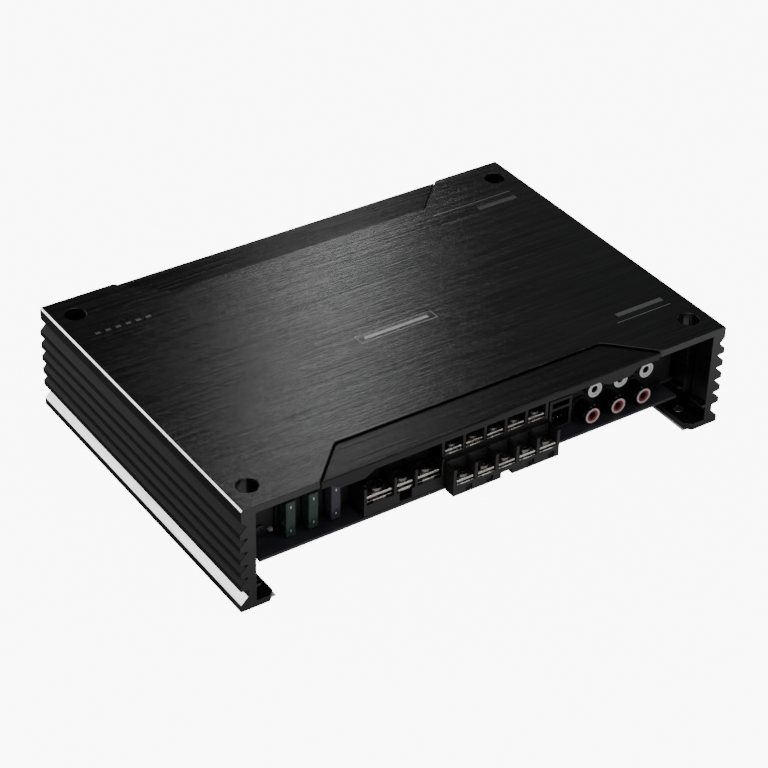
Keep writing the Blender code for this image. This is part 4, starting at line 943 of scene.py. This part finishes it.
def make_dial_marks():
    """Ticks round each knob, one per twenty-eight degrees of its travel, and bars by the switches."""
    face = PANEL_FACE
    parts = []
    for name in ("gain_front", "gain_rear", "gain_sub", "low_pass", "high_pass"):
        centre, low, high = middle_of(name + "_knob")
        for angle in np.radians(np.linspace(-140.0, 140.0, 11)):
            long = 1.3 if abs(abs(angle) - math.radians(140.0)) < 0.01 or abs(angle) < 0.01 else 0.8
            tick, quads, slot = slab((-0.14 * MM, face - 0.02 * MM, 5.2 * MM),
                                     (0.14 * MM, face + 0.04 * MM, (5.2 + long) * MM), 0.02 * MM,
                                     axis="Y", steps=1)
            across = tick[..., 0] * math.cos(angle) + tick[..., 2] * math.sin(angle)
            upward = -tick[..., 0] * math.sin(angle) + tick[..., 2] * math.cos(angle)
            turned_tick = np.stack([across + centre.x, tick[..., 1], upward + centre.z], axis=-1)
            parts.append((turned_tick, quads, slot))
    for index in (1, 2, 3):
        centre, low, high = middle_of("filter_switch_{}".format(index))
        for x in (-2.0, 0.0, 2.0):
            parts.append(slab((centre.x + (x - 0.14) * MM, face - 0.02 * MM, centre.z + 2.4 * MM),
                              (centre.x + (x + 0.14) * MM, face + 0.04 * MM, centre.z + 3.4 * MM),
                              0.02 * MM, axis="Y", steps=1))
    settle("rear_panel_marks", shell_mesh("rear_panel_marks", parts), [WHITE_PLASTIC], "root")


make_dial_marks()


# ---------------------------------------------------------------- parts on the board

def make_winding(node, turns, wire):
    """Wire wound round a ring core: a rounded square carried round the axis, its size swelling
    once per turn of wire as |sin|."""
    centre, low, high = middle_of(node)
    outer = (high.x - low.x) / 2
    height = high.z - low.z
    bore = outer * (0.4 if turns > 50 else 0.43)
    section = np.linspace(0.0, 2.0 * math.pi, 24, endpoint=False)
    across = np.sign(np.cos(section)) * np.abs(np.cos(section)) ** 0.55
    along = np.sign(np.sin(section)) * np.abs(np.sin(section)) ** 0.55
    spin = np.arange(turns * 6) * 2.0 * math.pi / (turns * 6)
    swell = np.abs(np.sin(spin * turns / 2.0))
    half_width = (outer - bore) / 2 - wire * (1.0 - swell)
    half_height = height / 2 - wire * (1.0 - swell)
    radius = (outer + bore) / 2 + half_width[:, None] * across
    points = np.stack([radius * np.cos(spin)[:, None] + centre.x,
                       radius * np.sin(spin)[:, None] + centre.y,
                       half_height[:, None] * along + centre.z], axis=-1)
    closed = np.concatenate([points, points[:1]])
    shape = (closed, grid_quads(len(closed), len(section)), 0)
    settle(node + "_wound", shell_mesh(node + "_wound", [shape], 60.0), [COPPER], "root",
           (node,))


make_winding("power_transformer", 60, 0.5 * MM)
make_winding("output_inductor_1", 28, 0.45 * MM)
make_winding("output_inductor_2", 28, 0.45 * MM)


def make_capacitor(node):
    """Sleeved can: turned profile with a rolled groove under the top and a bare lid."""
    centre, low, high = middle_of(node)
    radius = (high.x - low.x) / 2
    height = high.z - low.z
    groove = 3.2 * MM
    sleeve = [(0.0, 0.0), (radius - 0.8 * MM, 0.0), (radius - 0.2 * MM, 0.5 * MM),
              (radius, 1.1 * MM), (radius, height - groove - 1.0 * MM),
              (radius - 0.5 * MM, height - groove), (radius, height - groove + 1.0 * MM),
              (radius, height - 0.9 * MM), (radius - 0.3 * MM, height - 0.2 * MM),
              (radius - 1.2 * MM, height), (radius - 1.4 * MM, height - 0.25 * MM),
              (0.0, height - 0.25 * MM)]
    lid = [(0.0, height - 0.3 * MM), (radius - 1.5 * MM, height - 0.3 * MM),
           (radius - 1.6 * MM, height - 0.12 * MM), (0.0, height - 0.08 * MM)]
    spot = (centre.x, centre.y, low.z)
    parts = [turned(sleeve, spot, "Z", 64, 0), turned(lid, spot, "Z", 64, 1)]
    settle(node + "_sleeved", shell_mesh(node + "_sleeved", parts), [SLEEVE, TIN], "root",
           (node,))


make_capacitor("capacitor_1")
make_capacitor("capacitor_2")


# ---------------------------------------------------------------- camera, floor and lights

def aim_camera():
    """Camera on a sphere about the origin, rolled a little about its own line of sight."""
    flat = math.cos(CAMERA_ELEVATION)
    out = Vector((math.sin(CAMERA_AZIMUTH) * flat, -math.cos(CAMERA_AZIMUTH) * flat,
                  math.sin(CAMERA_ELEVATION)))
    right = Vector((0.0, 0.0, 1.0)).cross(out).normalized()
    up = out.cross(right)
    level = right * math.cos(CAMERA_ROLL) + up * math.sin(CAMERA_ROLL)
    upright = up * math.cos(CAMERA_ROLL) - right * math.sin(CAMERA_ROLL)
    data = bpy.data.cameras.new("camera")
    data.lens = CAMERA_LENS
    data.sensor_width = 36.0
    data.shift_x, data.shift_y = CAMERA_SHIFT
    data.clip_start = 0.05
    data.clip_end = 50.0
    camera = bpy.data.objects.new("camera", data)
    matrix = Matrix((level, upright, out)).transposed().to_4x4()
    matrix.translation = out * CAMERA_DISTANCE
    camera.matrix_world = matrix
    bpy.context.scene.collection.objects.link(camera)
    bpy.context.scene.camera = camera


FLOOR_GLOW = 9.0


def make_floor():
    """Pale floor that gives off its own light to the eye, and much less of it to the object.

    What it throws on the object is bright only in front. The two strips under the feet are a painted
    shadow, kept dark so that the floor doesn't shine up through the mounting holes.
    """
    span = np.linspace(-6.0, 6.0, 3)
    x, y = np.meshgrid(span, span, indexing="ij")
    points = np.stack([x, y, np.zeros_like(x)], axis=-1)
    mesh = bpy.data.meshes.new("floor")
    mesh.from_pydata(points.reshape(-1, 3).tolist(), [],
                     grid_quads(3, 3, round_columns=False)[:, ::-1].tolist())
    floor = bpy.data.objects.new("floor", mesh)
    bpy.context.scene.collection.objects.link(floor)
    material, tree, shader = new_finish("floor_white", Roughness=0.9, Specular_IOR_Level=0.0)
    shade = put(tree, "ShaderNodeTexNoise", {"Vector": object_place(tree), "Scale": 2.0})
    colour = mixed(tree, shade.outputs[0], (0.9, 0.9, 0.9), (0.93, 0.93, 0.93))
    seen = put(tree, "ShaderNodeLightPath").outputs["Is Camera Ray"]
    ahead = put(tree, "ShaderNodeSeparateXYZ", {0: object_place(tree)}).outputs["Y"]
    card = mixed(tree, ramp(tree, ahead, -0.07, -0.16), (0.04, 0.04, 0.04), (0.8, 0.8, 0.8))
    lit = (FLOOR_GLOW, FLOOR_GLOW, FLOOR_GLOW)
    # painted shadow: the floor under each foot is dark to the eye, standing in for the contact shade
    # there
    for side in (-1.0, 1.0):
        painted_foot_shadow = use(tree, BOX, Centre=(side * 0.12, 0.0, 0.0), Half_Size=(0.008, 0.088, 0.001))
        lit = mixed(tree, painted_foot_shadow["Mask"], lit, (0.02, 0.02, 0.02))
    shader.inputs["Emission Strength"].default_value = 1.0
    feed(tree, shader, Base_Color=mixed(tree, seen, (0.3, 0.3, 0.3), colour),
         Emission_Color=mixed(tree, seen, card, lit))
    mesh.materials.append(material)


def make_light(name, spot, aim, size, power, tall):
    data = bpy.data.lights.new(name, "AREA")
    data.energy = power
    data.shape = "RECTANGLE"
    data.size = size
    data.size_y = tall or size
    light = bpy.data.objects.new(name, data)
    light.location = spot
    light.rotation_euler = (Vector(aim) - Vector(spot)).to_track_quat("-Z", "Y").to_euler()
    bpy.context.scene.collection.objects.link(light)


WORLD_STRENGTH = 0.045
# Name, place, point it faces, width, power in watts, height where it isn't square
LIGHTS = (
    ("overhead", (-0.2, -0.5, 1.9), (0.0, 0.0, 0.0), 1.6, 14.0, None),
    ("sheen", (0.75, 1.22, 0.98), (-0.02, 0.0, 0.05), 0.06, 1.35, 1.1),
    ("haze", (0.955, 1.02, 0.98), (0.0, 0.0, 0.05), 0.35, 0.09, 1.0),
    ("edge", (-1.1, 1.12, 0.6), (-0.12, 0.0, 0.01), 0.8, 4.4, 0.6),
    ("rim", (0.69, -0.95, 1.03), (0.0, -0.08, 0.03), 0.4, 1.6, None),
    ("rear_fill", (-0.35, 1.7, 0.4), (0.0, 0.05, 0.03), 1.0, 2.5, 0.4),
    ("right_fill", (1.7, -0.1, 0.5), (0.1, 0.0, 0.03), 0.9, 1.2, 0.5),
    ("front_fill", (-0.15, -1.7, 0.55), (0.0, -0.05, 0.03), 1.1, 3.0, 0.5),
    ("left_fill", (-1.7, -0.2, 0.5), (-0.1, 0.0, 0.03), 0.9, 1.0, 0.6))


def light_scene():
    """Dim surround and the area lights.

    Overhead is the soft box. Sheen and haze make the glow on the top, edge lights the slopes of
    the left side and rim the bevels in front. The four fills are low, one on each side.
    """
    world = bpy.data.worlds.new("studio")
    world.use_nodes = True
    background = world.node_tree.nodes["Background"]
    background.inputs["Color"].default_value = (0.9, 0.95, 1.0, 1.0)
    background.inputs["Strength"].default_value = WORLD_STRENGTH
    bpy.context.scene.world = world
    for light in LIGHTS:
        make_light(*light)


make_floor()
light_scene()
aim_camera()
